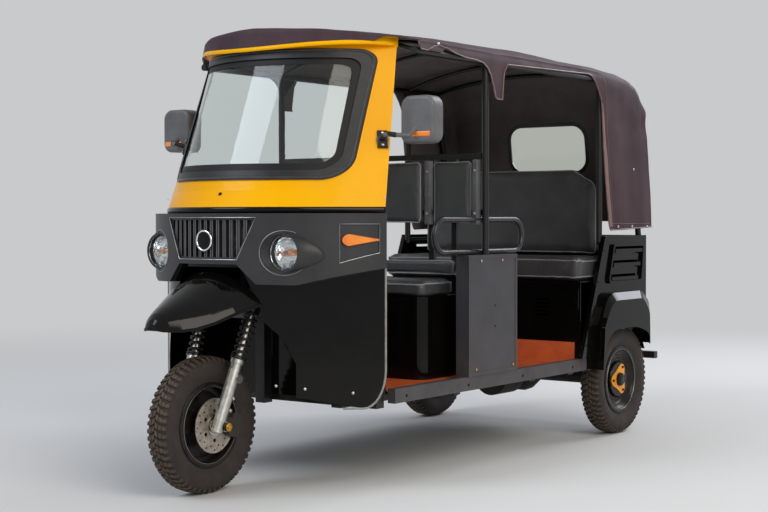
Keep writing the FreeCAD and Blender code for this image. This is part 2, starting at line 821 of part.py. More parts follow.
def make_nose():
    shell = lower_nose().cut(lower_nose(s.shell_wall, 60))
    shell = shell.cut(wheel_opening(s.nose_bottom - 50))
    slope = prism([
        (535, s.nose_bottom), (s.well_half - 20, 388), (s.well_half - 20, s.nose_bottom - 20),
        (535, s.nose_bottom - 20),
    ], "XZ", s.nose_y - 100, s.door_y)
    edge_x, low_z = s.door_x + 10, s.nose_bottom - 5
    start = (s.door_x - 62, low_z)
    middle = (s.door_x - 16, s.nose_bottom + 38)
    end = (edge_x, s.nose_bottom + 150)
    corner = curved([(start, middle, end), (end, (edge_x, low_z)), ((edge_x, low_z), start)], "XZ",
                    s.nose_y - 100, s.door_y + 50)
    shell = shell.cut([slope, mirrored(slope), corner, mirrored(corner)])
    for side in (1, -1):
        hole = Part.makeCylinder(s.hood_radius + s.seat_gap, 300, Vector(side * s.lamp_x, s.lamp_y - 150, s.lamp_z),
                                 Vector(0, 1, 0))
        shell = shell.cut(hole)
    grille_hole = prism(both_corners([
        (s.grille_low_half, s.grille_low_z), (s.grille_top_half, s.grille_top_z)]), "XZ",
        s.nose_y - 100, s.nose_y + 150)
    shell = shell.cut(grille_hole)
    keep(solid("shell_shape", shell), "nose_shell")

    front_y = s.nose_y - s.band_bulge
    def band_block(inset):
        block = nose_prism(s.band_low_z, s.band_top, front_y, s.band_radius, s.door_x + 6, s.door_y, inset)
        outline = prism(both_corners([
            (s.grille_low_half - inset / 2, s.band_mid_z + inset),
            (s.grille_top_half - inset / 2, s.band_low_z + 3 + inset),
            (s.band_flat_half, s.band_low_z + inset),
            (s.door_x + 10 - inset, s.band_side_z + inset),
            (s.door_x + 10 - inset, s.band_top - inset)]), "XZ", front_y - 50, s.door_y)
        return block.common(outline)
    inner = lower_nose(-s.seat_gap, 60, s.band_low_z - 10, s.band_top + 10)
    band = band_block(0).cut(band_block(s.band_wall)).cut(inner).cut(grille_hole)
    for side in (1, -1):
        band = band.cut(Part.makeCylinder(
            s.hood_radius + s.seat_gap, 400, Vector(side * s.lamp_x, s.lamp_y - 200, s.lamp_z),
            Vector(0, 1, 0)))
    def skin(near, far):
        return nose_prism(s.band_low_z, s.band_top, front_y, s.band_radius, s.door_x + 6, s.door_y, near).cut(
            nose_prism(s.band_low_z, s.band_top, front_y, s.band_radius, s.door_x + 6, s.door_y, far, 60))
    for flip in (1, -1):
        pocket = recess(0, flip).common(skin(-2, s.recess_depth))
        tray = recess(s.recess_depth, flip).common(skin(s.recess_depth, 2 * s.recess_depth))
        band = fused([band.cut(pocket), tray.cut(inner)])
    keep(solid("band_shape", band), "lamp_panel")
    make_grille(front_y)
    make_lamps()
    make_indicators()


def recess(grow, flip):
    """Outline of the sunk field round the indicator, seen from the front."""
    corners = [
        (s.recess_in - grow, s.recess_low - grow), (s.recess_out + grow, s.recess_low + 38 - grow),
        (s.recess_out + grow, s.recess_top + grow), (s.recess_in - grow, s.recess_top + grow)]
    return prism([(flip * across, up) for across, up in corners], "XZ", s.nose_y - 100, s.door_y)


def make_grille(front_y):
    """Slats across the trapezoid opening, joined by a back frame."""
    def outline(shrink):
        return prism(both_corners([
            (s.grille_low_half - shrink, s.grille_low_z + shrink),
            (s.grille_top_half - shrink, s.grille_top_z - shrink)]), "XZ", front_y - 60, s.nose_y + 150)
    depth = lambda near, far: nose_prism(
        s.grille_low_z - 20, s.grille_top_z + 20, front_y, s.band_radius, s.door_x + 6, s.door_y, near).cut(
        nose_prism(s.grille_low_z - 20, s.grille_top_z + 20, front_y, s.band_radius, s.door_x + 6, s.door_y,
                   far, 60))
    rim = outline(s.seat_gap).cut(outline(9)).common(depth(6, 26))
    pitch = 2 * s.grille_top_half / s.grille_bars
    slats = []
    for i in range(int(s.grille_bars)):
        x = (i + 0.5 - s.grille_bars / 2) * pitch
        slats.append(Part.makeBox(s.bar_width, 400, s.grille_top_z - s.grille_low_z,
                                  Vector(x - s.bar_width / 2, front_y - 60, s.grille_low_z)))
    bars = fused(slats).common(outline(5)).common(depth(8, 22))
    back = outline(5).common(depth(20, 24))
    keep(solid("grille_shape", fused([rim, bars, back])), "grille")


def make_lamps():
    """Lamp bowls. Inboard each is sunk in the panel; outboard a pod tapers back to the panel's skin."""
    bowls = []
    lenses = []
    front_y = s.nose_y - s.band_bulge
    outside = nose_prism(s.band_low_z - 40, s.band_top + 40, front_y, s.band_radius, s.door_x + 6, s.door_y,
                         -s.seat_gap)
    sunk = nose_prism(s.band_low_z - 40, s.band_top + 40, front_y, s.band_radius, s.door_x + 6, s.door_y, 1.5)
    lip = s.lamp_y - 18
    back = s.lamp_y + 70
    for side in (1, -1):
        at = lambda y, across=s.lamp_x, up=s.lamp_z: Vector(side * across, y, up)
        well = rod(at(front_y), at(back), s.hood_radius)
        plug = well.common(sunk)
        rows = (
            # y, middle across, middle up, radius
            (lip, s.lamp_x + 1, s.lamp_z, s.lens_radius + s.hood_rim),
            (s.lamp_y + 22, s.lamp_x + 22, s.lamp_z - 2, s.lens_radius + 2),
            (s.lamp_y + 56, s.lamp_x + 70, s.lamp_z - 6, s.lens_radius * 0.7),
            (s.pod_tip_y, s.pod_tip_x - 24, s.lamp_z - 12, s.lens_radius * 0.25),
        )
        rings = [Part.Wire(Part.makeCircle(radius, at(y, across, up), Vector(0, 1, 0)))
                 for y, across, up, radius in rows]
        pod = Part.makeLoft(rings, True, False).cut(outside.cut(well))
        mouth = rod(at(lip - 60), at(s.lamp_y + s.seat_gap + 12), s.lens_radius + s.seat_gap)
        flare = Part.makeCone(s.hood_radius - 2, s.lens_radius + s.seat_gap, 62, at(front_y + 42), Vector(0, 1, 0))
        bowl = Part.makeCone(s.lens_radius - 4, 24, 52, at(s.lamp_y + 11), Vector(0, 1, 0))
        far_side = Part.makeBox(400, 400, 400, Vector(s.lamp_x - 400, front_y - 200, s.lamp_z - 200))
        far_side = far_side if side > 0 else mirrored(far_side)
        bowls.append(fused([plug.cut(flare.common(far_side)), pod]).cut([mouth, bowl]))
        ball_r = 190.0
        ball = Part.makeSphere(ball_r, at(s.lamp_y - 10 + ball_r))
        lenses.append(rod(at(s.lamp_y - 12), at(s.lamp_y + 12), s.lens_radius).common(ball))
    keep(solid("hood_shape", Part.makeCompound(bowls)), "headlamps")
    keep(solid("lens_shape", Part.makeCompound(lenses)), "headlamp_lenses")


def make_indicators():
    """Tear-drop lamp seated in the panel's recess, its round end inboard."""
    middle = s.indicator_z
    near, far = s.recess_in + 26, s.recess_out - 2
    drop = curved([
        ((near, middle + 23), (near - 15, middle), (near, middle - 23)),
        ((near, middle - 23), (far, middle - 4)),
        ((far, middle - 4), (far, middle + 4)),
        ((far, middle + 4), (near, middle + 23)),
    ], "XZ", s.nose_y - 100, s.door_y)
    front_y = s.nose_y - s.band_bulge
    low, high = s.recess_low, s.recess_top
    skin = nose_prism(low, high, front_y, s.band_radius, s.door_x + 6, s.door_y, -s.indicator_proud).cut(
        nose_prism(low, high, front_y, s.band_radius, s.door_x + 6, s.door_y, s.recess_depth - s.seat_gap, 60))
    keep(solid("indicator_shape", pair(drop.common(skin))), "indicators")


def mudguard_rows():
    """Sections from the tip back: y, half width, height of the rim, height of the crown."""
    tip = s.nose_y - s.beak_reach
    return (
        (tip, 20, 657, 680),
        (tip + 8, 44, 652, 699),
        (tip + 28, 67, 650, 720),
        (tip + 62, 96, 650, 741),
        (tip + 108, 128, 656, 765),
        (tip + 168, 164, 675, 797),
        (tip + 248, 198, 708, 842),
        (s.nose_y + 52, 230, 739, 894),
    )


def mudguard_loft(inset):
    """Domed sections, each an arc from side to side over a rolled bead."""
    wires = []
    for y, half, rim, crown in mudguard_rows():
        out, top = half + s.bead_proud, rim + s.bead_height
        if inset:
            half, out, crown = half - inset, half - inset, crown - inset
        arc_end = Vector(half, y, top)
        ring = [Vector(-out, y, rim), Vector(out, y, rim)]
        if not inset:
            ring.append(Vector(out, y, top))
        ring.append(arc_end)
        edges = [Part.LineSegment(a, b).toShape() for a, b in zip(ring, ring[1:])]
        edges.append(Part.Arc(arc_end, Vector(0, y, crown), Vector(-half, y, top)).toShape())
        back = [Vector(-half, y, top)] + ([Vector(-out, y, top)] if not inset else []) + [Vector(-out, y, rim)]
        edges += [Part.LineSegment(a, b).toShape() for a, b in zip(back, back[1:])]
        wires.append(Part.Wire(edges))
    return Part.makeLoft(wires, True, True)


def make_beak():
    outer = mudguard_loft(0)
    inner = mudguard_loft(s.beak_sheet)
    tip_wall = outer.common(Part.makeBox(400, 2 * s.beak_sheet, 400, Vector(
        -200, s.nose_y - s.beak_reach - s.beak_sheet, 500)))
    shell = fused([outer.cut(inner), tip_wall]).cut(lower_nose(-s.seat_gap, 60))
    keep(solid("beak_shape", shell), "mudguard")


# Windscreen surround, seal, glass, visor

def make_fascia():
    shell = upper_nose().cut(upper_nose(s.shell_wall, 60))
    shell = shell.cut(screen_prism(s.seal_width / 2, 90, 60))
    edge, crown = canopy_rows()[0][1:]
    z0, radius = roof_arch(edge, crown, s.canopy_half, s.canopy_sheet + s.seat_gap)
    long = 900
    over = Part.makeCylinder(radius, long, Vector(0, s.head_y - 200, z0), Vector(0, 1, 0))
    under = Part.makeCylinder(radius - s.visor_drop, long, Vector(0, s.head_y - 200, z0), Vector(0, 1, 0))
    lip = nose_prism(s.head_z - 120, s.head_z + 120, s.head_y - s.visor_reach, s.nose_radius + s.visor_reach,
                     s.head_door_x + 4, s.head_door_y)
    lip = lip.cut(nose_prism(s.head_z - 120, s.head_z + 120, s.head_y, s.nose_radius,
                             s.head_door_x, s.head_door_y, s.shell_wall, 60))
    lip = lip.common(over).cut(under)
    # the surround's own top edge follows the same arch
    trim = Part.makeBox(1400, 900, 300, Vector(-700, s.head_y - 200, s.head_z - 200)).cut(over)
    keep(solid("fascia_shape", fused([shell.cut(trim), lip])), "windscreen_surround")


def make_screen():
    outer = upper_nose(-s.seal_proud)
    inner = upper_nose(s.seal_depth, 60)
    band = outer.cut(inner)
    ring = screen_prism(s.seal_width / 2 - s.seat_gap, 90, 60).cut(screen_prism(-s.seal_width / 2, 70, 45))
    groove = upper_nose(3.5).cut(upper_nose(3.5 + s.glass_sheet + 2 * s.seat_gap, 60))
    groove = groove.common(screen_prism(-s.seal_width / 2 + 14, 76, 50))
    seal = band.common(ring).cut(groove)
    keep(solid("seal_shape", seal), "windscreen_seal")
    glass = upper_nose(3.5 + s.seat_gap).cut(upper_nose(3.5 + s.seat_gap + s.glass_sheet, 60))
    glass = glass.common(screen_prism(-s.seal_width / 2 + 13.7, 76, 50))
    keep(solid("glass_shape", glass), "windscreen_glass")


def make_toe_board():
    """Bulkhead behind the front wheel, cut to the inside of the nose, with its ramp at the foot."""
    back = s.floor_front
    sheet = prism([
        (back, s.floor_top - 30), (back, 990), (back - 3, 990), (back - 3, s.floor_top - 30)], "YZ", -600, 600)
    ramp = prism([
        (back, s.floor_top + s.seat_gap), (back, 500), (back + 3, 500), (back + 80, s.floor_top + 3),
        (back + 80, s.floor_top + s.seat_gap)], "YZ", -(s.sill_x - s.sill_width - 4), s.sill_x - s.sill_width - 4)
    ramp = ramp.cut(prism([
        (back - 1, s.floor_top - 3), (back - 1, 495), (back + 76, s.floor_top - 3)], "YZ", -540, 540))
    board = sheet.common(lower_nose(s.shell_wall + s.seat_gap, 60))
    top = steer_point(0, 0, s.head_low)
    gap = prism([(-27, 300), (27, 300), (27, top.z + 42), (-27, top.z + 42)], "XZ", back - 10, back + 1)
    keep(solid("toe_shape", fused([board.cut(gap), ramp])), "toe_board")

    shelf_z = s.seam_z + 45
    shelf = upper_nose(s.shell_wall + s.seat_gap, 60).common(
        Part.makeBox(1300, s.door_y - 30 - s.nose_y, 18, Vector(-650, s.nose_y, shelf_z)))
    hood = rounded([(-130, shelf_z + 17), (130, shelf_z + 17), (110, shelf_z + 66), (-110, shelf_z + 66)],
                   [0.0, 0.0, 22, 22], "XZ", s.door_y - 150, s.door_y - 30)
    keep(solid("dash_shape", fused([shelf, hood])), "dash_shelf")


# Mirrors

def make_mirrors():
    low, top = s.mirror_low, s.mirror_top
    near, far = s.mirror_in, s.mirror_out
    front, rear = s.mirror_y, s.mirror_y + s.mirror_depth
    foot_z = low + 15
    along = Vector(1, 1, 0).normalize()
    foot = rows_at(foot_z) - along * 32
    out = along.cross(rows_at(foot_z + 50) - rows_at(foot_z)).normalize()
    out = out if out.y < 0 else -out
    plate = rod(foot + out * s.seat_gap, foot + out * 12, 24)
    middle = (near + far) / 2
    arm = tube([
        foot + out * 8, foot + out * 62, Vector(middle - 11, front - 33, low + 29),
        Vector(middle - 7, front + 27, low + 75)], s.mirror_stem, 14)
    head = rounded([(near, low), (far, low), (far, top), (near, top)], [34, 40, 44, 44], "XZ", front, rear)
    head = head.makeFillet(16, [e for e in head.Edges if abs(e.BoundBox.YMax - front) < 0.1])

    def face(inset, start_y, end_y):
        return rounded([(near + inset, low + inset), (far - inset, low + inset), (far - inset, top - inset),
                        (near + inset, top - inset)], [28, 34, 38, 38], "XZ", start_y, end_y)
    head = head.cut(face(s.mirror_lip, rear - 4, rear + 12))
    glass = face(s.mirror_lip + s.seat_gap, rear - 4 + s.seat_gap, rear)
    keep(solid("mirror_shape", pair(fused([plate, arm, head]))), "mirrors")
    keep(solid("mirror_glass_shape", pair(glass)), "mirror_glass")


def rows_at(level):
    """Door edge of the windscreen surround at a level."""
    share = (level - s.seam_z) / (s.head_z - s.seam_z)
    return Vector(s.door_x + (s.head_door_x - s.door_x) * share,
                  s.door_y + (s.head_door_y - s.door_y) * share, level)


# Roof frame and canopy

def canopy_rows():
    """Sections of the roof from the visor back: y, height of the side edge, height of the crown."""
    edge, crown = s.canopy_edge_z, s.canopy_crown_z
    return (
        (s.head_y - s.visor_reach, edge, crown - 55),
        (s.post_y - 166, edge, crown - 12),
        (s.post_y + 434, edge, crown),
        (axle_y - 210, edge - 5, crown - 25),
        (axle_y + 90, edge - 20, crown - 63),
        (axle_y + 210, edge - 82, crown - 143),
        (axle_y + 277, edge - 196, crown - 269),
        (axle_y + 357, s.skirt_z + 38, s.skirt_z + 48),
    )


def canopy_edge():
    """The canopy's lower edge in side view, front to rear: a scallop, the middle post's flap, the rear flap."""
    table = (
        # measured from, y, height above the valance
        (s.post_y, -1096, 0), (s.post_y, -475, 0), (s.post_y, -417, 24), (s.post_y, -337, 24),
        (s.post_y, -277, 8), (s.post_y, -192, -6), (s.post_y, -51, -16), (s.post_y, 6, -50),
        (s.post_y, 47, -155), (s.post_y, 105, -164), (s.post_y, 97, -126), (s.post_y, 121, -41),
        (s.post_y, 146, -8), (axle_y, -321, 14), (axle_y, -259, -29), (axle_y, -217, -104),
        (axle_y, -163, -321), (axle_y, -127, -655), (axle_y, -105, -749),
    )
    return [(base + y, s.valance_z + up) for base, y, up in table]


def canopy_loft(inset):
    rows = canopy_rows()
    wires = []
    for number, (y, edge, crown) in enumerate(rows):
        last = number == len(rows) - 1
        half = s.canopy_half - inset
        y_here = y - inset if number > 4 else y
        if number == 0:
            y_here = y - 10 * (inset > 0)
        low = s.skirt_z - 30 * (inset > 0)
        top = edge - inset * (0.2 if last else 1.0)
        peak = crown - inset * (0.2 if last else 1.0)
        right, left = Vector(half, y_here, low), Vector(-half, y_here, low)
        up_right, up_left = Vector(half, y_here, top), Vector(-half, y_here, top)
        wires.append(Part.Wire([
            Part.LineSegment(left, right).toShape(),
            Part.LineSegment(right, up_right).toShape(),
            Part.Arc(up_right, Vector(0, y_here, peak), up_left).toShape(),
            Part.LineSegment(up_left, left).toShape(),
        ]))
    return Part.makeLoft(wires, True, True)


def window_block(inset):
    """The rear window's rounded outline through the canopy's back."""
    half, low, top = s.window_half - inset, s.window_low + inset, s.window_top - inset
    return rounded(both_corners([(half, low), (half, top)]), 4 * [s.window_round], "XZ", axle_y + 160,
                   axle_y + 460)


def make_canopy():
    shell = canopy_loft(0).cut(canopy_loft(s.canopy_sheet))
    edge = canopy_edge()
    below = s.skirt_z - 60
    doorway = prism(edge + [(edge[-1][0], below), (edge[0][0], below)], "YZ", -s.canopy_half - 50,
                    s.canopy_half + 50)
    window = window_block(0)
    shell = shell.cut([doorway, window])
    # the front edge follows the visor in plan, and the valance starts at the surround's door edge
    front = nose_prism(s.skirt_z - 100, s.head_z + 200, s.head_y - s.visor_reach, s.nose_radius + s.visor_reach,
                       s.canopy_half + 5, s.head_door_y + 40, 0, 2 * s.wheelbase)
    shell = shell.common(front)
    keep(solid("canopy_shape", shell), "canopy")
    pane = canopy_loft(s.canopy_sheet / 3).cut(canopy_loft(s.canopy_sheet * 2 / 3)).common(
        window_block(s.seat_gap))
    keep(solid("window_shape", pane), "rear_window")


def crown_at(y):
    rows = canopy_rows()
    for (y0, e0, c0), (y1, e1, c1) in zip(rows, rows[1:]):
        if y0 <= y <= y1:
            return c0 + (c1 - c0) * (y - y0) / (y1 - y0)
    return rows[-1][2]


def make_roof_frame():
    x, z = s.roof_x, s.roof_z
    front, rear = s.head_door_y + 6, roof_rear
    bars = []
    for side in (1, -1):
        bars.append(rod(Vector(side * x, front, z), Vector(side * x, rear, z), s.roof_tube))
        bars.append(rod(Vector(side * x, s.post_y, s.box_top + s.seat_gap), Vector(side * x, s.post_y, z),
                        s.roof_tube))
        foot, rear_foot = s.panel_top - 30, axle_y + 236
        bars.append(rod(Vector(side * x, flap_y + 20, foot), Vector(side * x, flap_y + 20, z), s.roof_tube))
        bars.append(rod(Vector(side * x, rear_foot, foot), Vector(side * x, rear, z), s.roof_tube))
        bars.append(rod(Vector(side * x, flap_y + 20, foot), Vector(side * x, rear_foot, foot), s.roof_tube))
        gusset = prism([(s.post_y, z), (s.post_y + s.gusset, z), (s.post_y, z - s.gusset)], "YZ", side * x - 3,
                       side * x + 3)
        bars.append(gusset)
    middle = (s.post_y + flap_y + 20) / 2
    for y in (front + 15, s.post_y, middle, flap_y + 20, rear - 12):
        peak = crown_at(y) - s.canopy_sheet - s.bow_tube - s.seat_gap
        arc = Part.Arc(Vector(-x, y, z), Vector(0, y, peak), Vector(x, y, z)).toShape()
        path = Part.Wire([arc])
        tangent = arc.tangentAt(arc.FirstParameter)
        ring = Part.Wire(Part.makeCircle(s.bow_tube, Vector(-x, y, z), tangent))
        bars.append(path.makePipeShell([ring], True, False))
    keep(solid("roof_shape", fused(bars)), "roof_frame")


# Pillar boxes and grab loops

def make_pillars():
    boxes = []
    loops = []
    for side in (1, -1):
        low = s.box_out - s.box_depth
        block = Part.makeBox(s.box_depth, s.box_rear - s.box_front, s.box_top - s.sill_top,
                             Vector(low, s.box_front, s.sill_top))
        inset = Part.makeBox(s.box_fold_depth, s.box_rear - s.box_front - 2 * s.box_fold,
                             s.box_top - s.sill_top - 2 * s.box_fold,
                             Vector(s.box_out - s.box_fold_depth, s.box_front + s.box_fold,
                                    s.sill_top + s.box_fold))
        block = block.cut(inset)
        for z in (s.box_hole_z + s.box_hole_spacing / 2, s.box_hole_z - s.box_hole_spacing / 2):
            block = block.cut(Part.makeCylinder(s.box_hole, 14, Vector(s.box_out - 12, s.box_hole_y, z),
                                                Vector(1, 0, 0)))
        inner = s.roof_x - s.roof_tube - 2 * s.loop_tube - s.seat_gap + s.loop_tube
        middle = (s.loop_low + s.loop_high) / 2
        bend = (s.loop_high - s.loop_low) / 2
        path = Part.Wire([
            Part.LineSegment(Vector(inner, s.loop_front + bend, s.loop_low),
                             Vector(inner, s.loop_rear - bend, s.loop_low)).toShape(),
            Part.Arc(Vector(inner, s.loop_rear - bend, s.loop_low), Vector(inner, s.loop_rear, middle),
                     Vector(inner, s.loop_rear - bend, s.loop_high)).toShape(),
            Part.LineSegment(Vector(inner, s.loop_rear - bend, s.loop_high),
                             Vector(inner, s.loop_front + bend, s.loop_high)).toShape(),
            Part.Arc(Vector(inner, s.loop_front + bend, s.loop_high), Vector(inner, s.loop_front, middle),
                     Vector(inner, s.loop_front + bend, s.loop_low)).toShape(),
        ])
        ring = Part.Wire(Part.makeCircle(s.loop_tube, Vector(inner, s.loop_front + bend, s.loop_low),
                                         Vector(0, 1, 0)))
        loop = path.makePipeShell([ring], True, False)
        if side < 0:
            block, loop = mirrored(block), mirrored(loop)
        boxes.append(block)
        loops.append(loop)
    keep(solid("pillar_shape", Part.makeCompound(boxes)), "pillar_boxes")
    keep(solid("loop_shape", Part.makeCompound(loops)), "grab_loops")


# Driver's seat and partition

def make_driver_seat():
    outer = rounded([
        (-s.seat_half, s.seat_front + 10), (s.seat_half, s.seat_front + 10), (s.seat_half, s.seat_rear),
        (-s.seat_half, s.seat_rear)], [60, 60, 4, 4], "XY", s.floor_top + s.mat_sheet, s.seat_box_top)
    wall = s.sheet
    inner = rounded([
        (-s.seat_half + wall, s.seat_front + 10 + wall), (s.seat_half - wall, s.seat_front + 10 + wall),
        (s.seat_half - wall, s.seat_rear - wall), (-s.seat_half + wall, s.seat_rear - wall)],
        [56, 56, 2, 2], "XY", s.floor_top + s.mat_sheet - 1, s.seat_box_top - wall)
    keep(solid("seat_box_shape", outer.cut(inner)), "seat_box")
    cushion = rounded([
        (-s.seat_half - 12, s.seat_front), (s.seat_half + 12, s.seat_front), (s.seat_half + 12, s.seat_rear),
        (-s.seat_half - 12, s.seat_rear)], [45, 45, 12, 12], "XY", s.seat_box_top + s.seat_gap,
        s.seat_cushion_top)
    keep(solid("seat_cushion_shape", cushion), "seat_cushion")
    front = s.post_y - 12 - s.seat_gap - s.pad_thick
    rest = Part.makeBox(2 * s.seat_half, s.pad_thick, s.rest_high - s.rest_low,
                        Vector(-s.seat_half, front, s.rest_low))
    keep(solid("rest_shape", rest), "seat_back_pad")


def make_partition():
    """Bars between the two B-posts, with the pads screwed to their front."""
    inner = s.roof_x - s.roof_tube - s.seat_gap
    y = s.post_y - 12
    bars = []
    between_boxes = s.box_out - s.box_depth - s.seat_gap
    for z, half in ((s.screen_frame_high - 12, inner), (s.loop_high + 18, inner), (s.rest_low + 25, between_boxes)):
        bars.append(Part.makeBox(2 * half, 20, 24, Vector(-half, y, z)))
    low = s.rest_low + 25
    strip = s.partition_strip
    for x in (-s.seat_half + 20, -s.middle_pad_half - 22, s.middle_pad_half + 22, s.seat_half - 20):
        bars.append(Part.makeBox(strip, 20, s.screen_frame_high - low, Vector(x - strip / 2, y, low)))
    keep(solid("partition_shape", fused(bars)), "partition_frame")
    front = y - s.seat_gap
    pads = []
    half, near, far = s.middle_pad_half, s.middle_pad_half + 40, inner - 30
    for x0, x1, thick in ((-half, half, s.pad_thick + 10), (near, far, s.pad_thick - 8),
                          (-far, -near, s.pad_thick - 8)):
        pads.append(Part.makeBox(x1 - x0, thick, s.screen_frame_high - s.screen_frame_low - 14,
                                 Vector(x0, front - thick, s.screen_frame_low)))
    keep(solid("pads_shape", Part.makeCompound(pads)), "partition_pads")


# Passenger bench

def make_bench():
    y0, y1, t = bench_front, bench_rear, s.sheet
    inside = s.bench_half - t
    low = s.floor_top + s.kick_up + 2
    apron = Part.makeBox(2 * s.bench_apron_half, t, s.bench_board_z - s.floor_top,
                         Vector(-s.bench_apron_half, y0 + s.seat_gap, s.floor_top))
    over_sill = Part.makeBox(60, 3 * t, s.sill_top + s.seat_gap - s.floor_top + 10,
                             Vector(s.sill_x - s.sill_width - s.seat_gap, y0 - t, s.floor_top - 10))
    apron = apron.cut([over_sill, mirrored(over_sill)])
    board = Part.makeBox(2 * s.bench_apron_half, y1 - y0 - s.seat_gap, t,
                         Vector(-s.bench_apron_half, y0 + s.seat_gap, s.bench_board_z - t))
    walls = Part.makeBox(2 * s.bench_half, y1 - y0 - s.seat_gap, s.bench_board_z - low,
                         Vector(-s.bench_half, y0 + s.seat_gap, low))
    hollow = Part.makeBox(2 * inside, y1 - y0 - s.seat_gap - 2 * t, s.bench_board_z - low - 2 * t,
                          Vector(-inside, y0 + s.seat_gap + t, low + t))
    door = Part.makeBox(2 * s.hatch_half, 3 * t, s.hatch_high - s.hatch_low,
                        Vector(-s.hatch_half, y0 - t, s.hatch_low))
    hinge_y, hinge_z = y0 - s.hinge_out, s.hatch_low + 2
    box_shape = fused([apron, board, walls]).cut(hollow).cut(door)
    pin = rod(Vector(-s.hinge_half - 20, hinge_y, hinge_z), Vector(s.hinge_half + 20, hinge_y, hinge_z), s.hinge_pin)
    lugs = []
    for side in (1, -1):
        low_x = s.hinge_half + 4 if side > 0 else -s.hinge_half - s.hinge_lug - 4
        lugs.append(Part.makeCylinder(5, s.hinge_lug, Vector(low_x, hinge_y, hinge_z), Vector(1, 0, 0)))
        lugs.append(Part.makeBox(s.hinge_lug, s.hinge_out + 2, 6, Vector(low_x, hinge_y, s.hatch_low - 5)))
    keep(solid("bench_shape", fused([box_shape, pin] + lugs)), "bench_box")

    gap = s.hatch_gap
    panel = Part.makeBox(2 * (s.hatch_half - gap), t, s.hatch_high - s.hatch_low - 2 * gap,
                         Vector(-s.hatch_half + gap, y0 + s.seat_gap, s.hatch_low + gap))
    slots = []
    for i in range(5):
        corner = Vector(s.slot_in, y0 - t, s.slot_low + s.slot_pitch * i)
        slot = Part.makeBox(s.slot_width, 3 * t, s.slot_height, corner)
        slots += [slot, mirrored(slot)]
    panel = panel.cut(slots)
    knob = Part.makeCylinder(s.knob_radius, 12, Vector(s.latch_x, y0 - 11, s.latch_z), Vector(0, 1, 0))
    knuckle = Part.makeCylinder(5, 2 * s.hinge_half, Vector(-s.hinge_half, hinge_y, hinge_z), Vector(1, 0, 0))
    tab = Part.makeBox(2 * s.hinge_half, s.hinge_out + 2, 4, Vector(-s.hinge_half, hinge_y, hinge_z))
    bore = rod(Vector(-s.hinge_half - 9, hinge_y, hinge_z), Vector(s.hinge_half + 9, hinge_y, hinge_z),
               s.hinge_pin + s.bearing_gap)
    keep(solid("hatch_shape", fused([panel, knob, mirrored(knob), knuckle, tab]).cut(bore)), "bench_hatch")

    cushion = rounded([
        (-s.bench_apron_half, y0 - 6), (s.bench_apron_half, y0 - 6), (s.bench_apron_half, y1 - 30),
        (-s.bench_apron_half, y1 - 30)], [30, 30, 10, 10], "XY", s.bench_board_z + s.seat_gap,
        s.bench_cushion_top)
    keep(solid("bench_cushion_shape", cushion), "bench_cushion")
    half, slant = s.bench_back_half, s.bench_back_half - 132
    back = rounded(both_corners([
        (half, s.bench_cushion_top + s.seat_gap), (half, s.bench_back_top - 78), (slant, s.bench_back_top)]),
        [20, 60, 60, 60, 60, 20], "XZ", y1 - 88, y1 - 28)
    keep(solid("bench_back_shape", back), "bench_back")


# Rear body

def fender_block(inset, low, high):
    """The wheel-arch fender: full height at the panel, drawn in by a sloping shoulder to its outer face."""
    ahead, behind, top, foot = s.fender_ahead - inset, s.fender_behind - inset, s.fender_top - inset, s.leg_low - 15
    drop = s.fender_shoulder + 10
    inner = [
        (axle_y - ahead - 20, foot), (axle_y - ahead, 550), (axle_y - ahead + 80, top),
        (axle_y + 150 - inset, top), (axle_y + behind + 35, 650), (axle_y + behind + 40, foot)]
    outer = [
        (axle_y - ahead - 16, foot), (axle_y - ahead + 2, 556), (axle_y - ahead + 87, top - drop),
        (axle_y + 130 - inset, top - drop), (axle_y + behind - 9, 600), (axle_y + behind + 2, foot)]
    radii = [0, 60, 120, 90, 50, 0]
    shoulder = high - s.fender_shoulder
    rings = [rounded_ring(inner, radii, "YZ", shoulder), rounded_ring(outer, radii, "YZ", high)]
    return fused([rounded(inner, radii, "YZ", low, shoulder), Part.makeLoft(rings, True, True)])


def lip_block():
    """The opening over the wheel: an arch, then the straight run down behind the wheel."""
    y, top = axle_y, s.lip_top
    front, rear = s.fender_ahead - 5, s.fender_behind - 9
    return curved([
        ((y - front, 300), (y - front, 430)),
        ((y - front, 430), (y - 228, 508), (y - 110, top - 4)),
        ((y - 110, top - 4), (y + 40, top), (y + 145, top - 24)),
        ((y + 145, top - 24), (y + 180, top - 40), (y + rear, top - 70)),
        ((y + rear, top - 70), (y + rear, 300)),
        ((y + rear, 300), (y - front, 300)),
    ], "YZ", s.panel_out - 20, s.fender_out + 20)


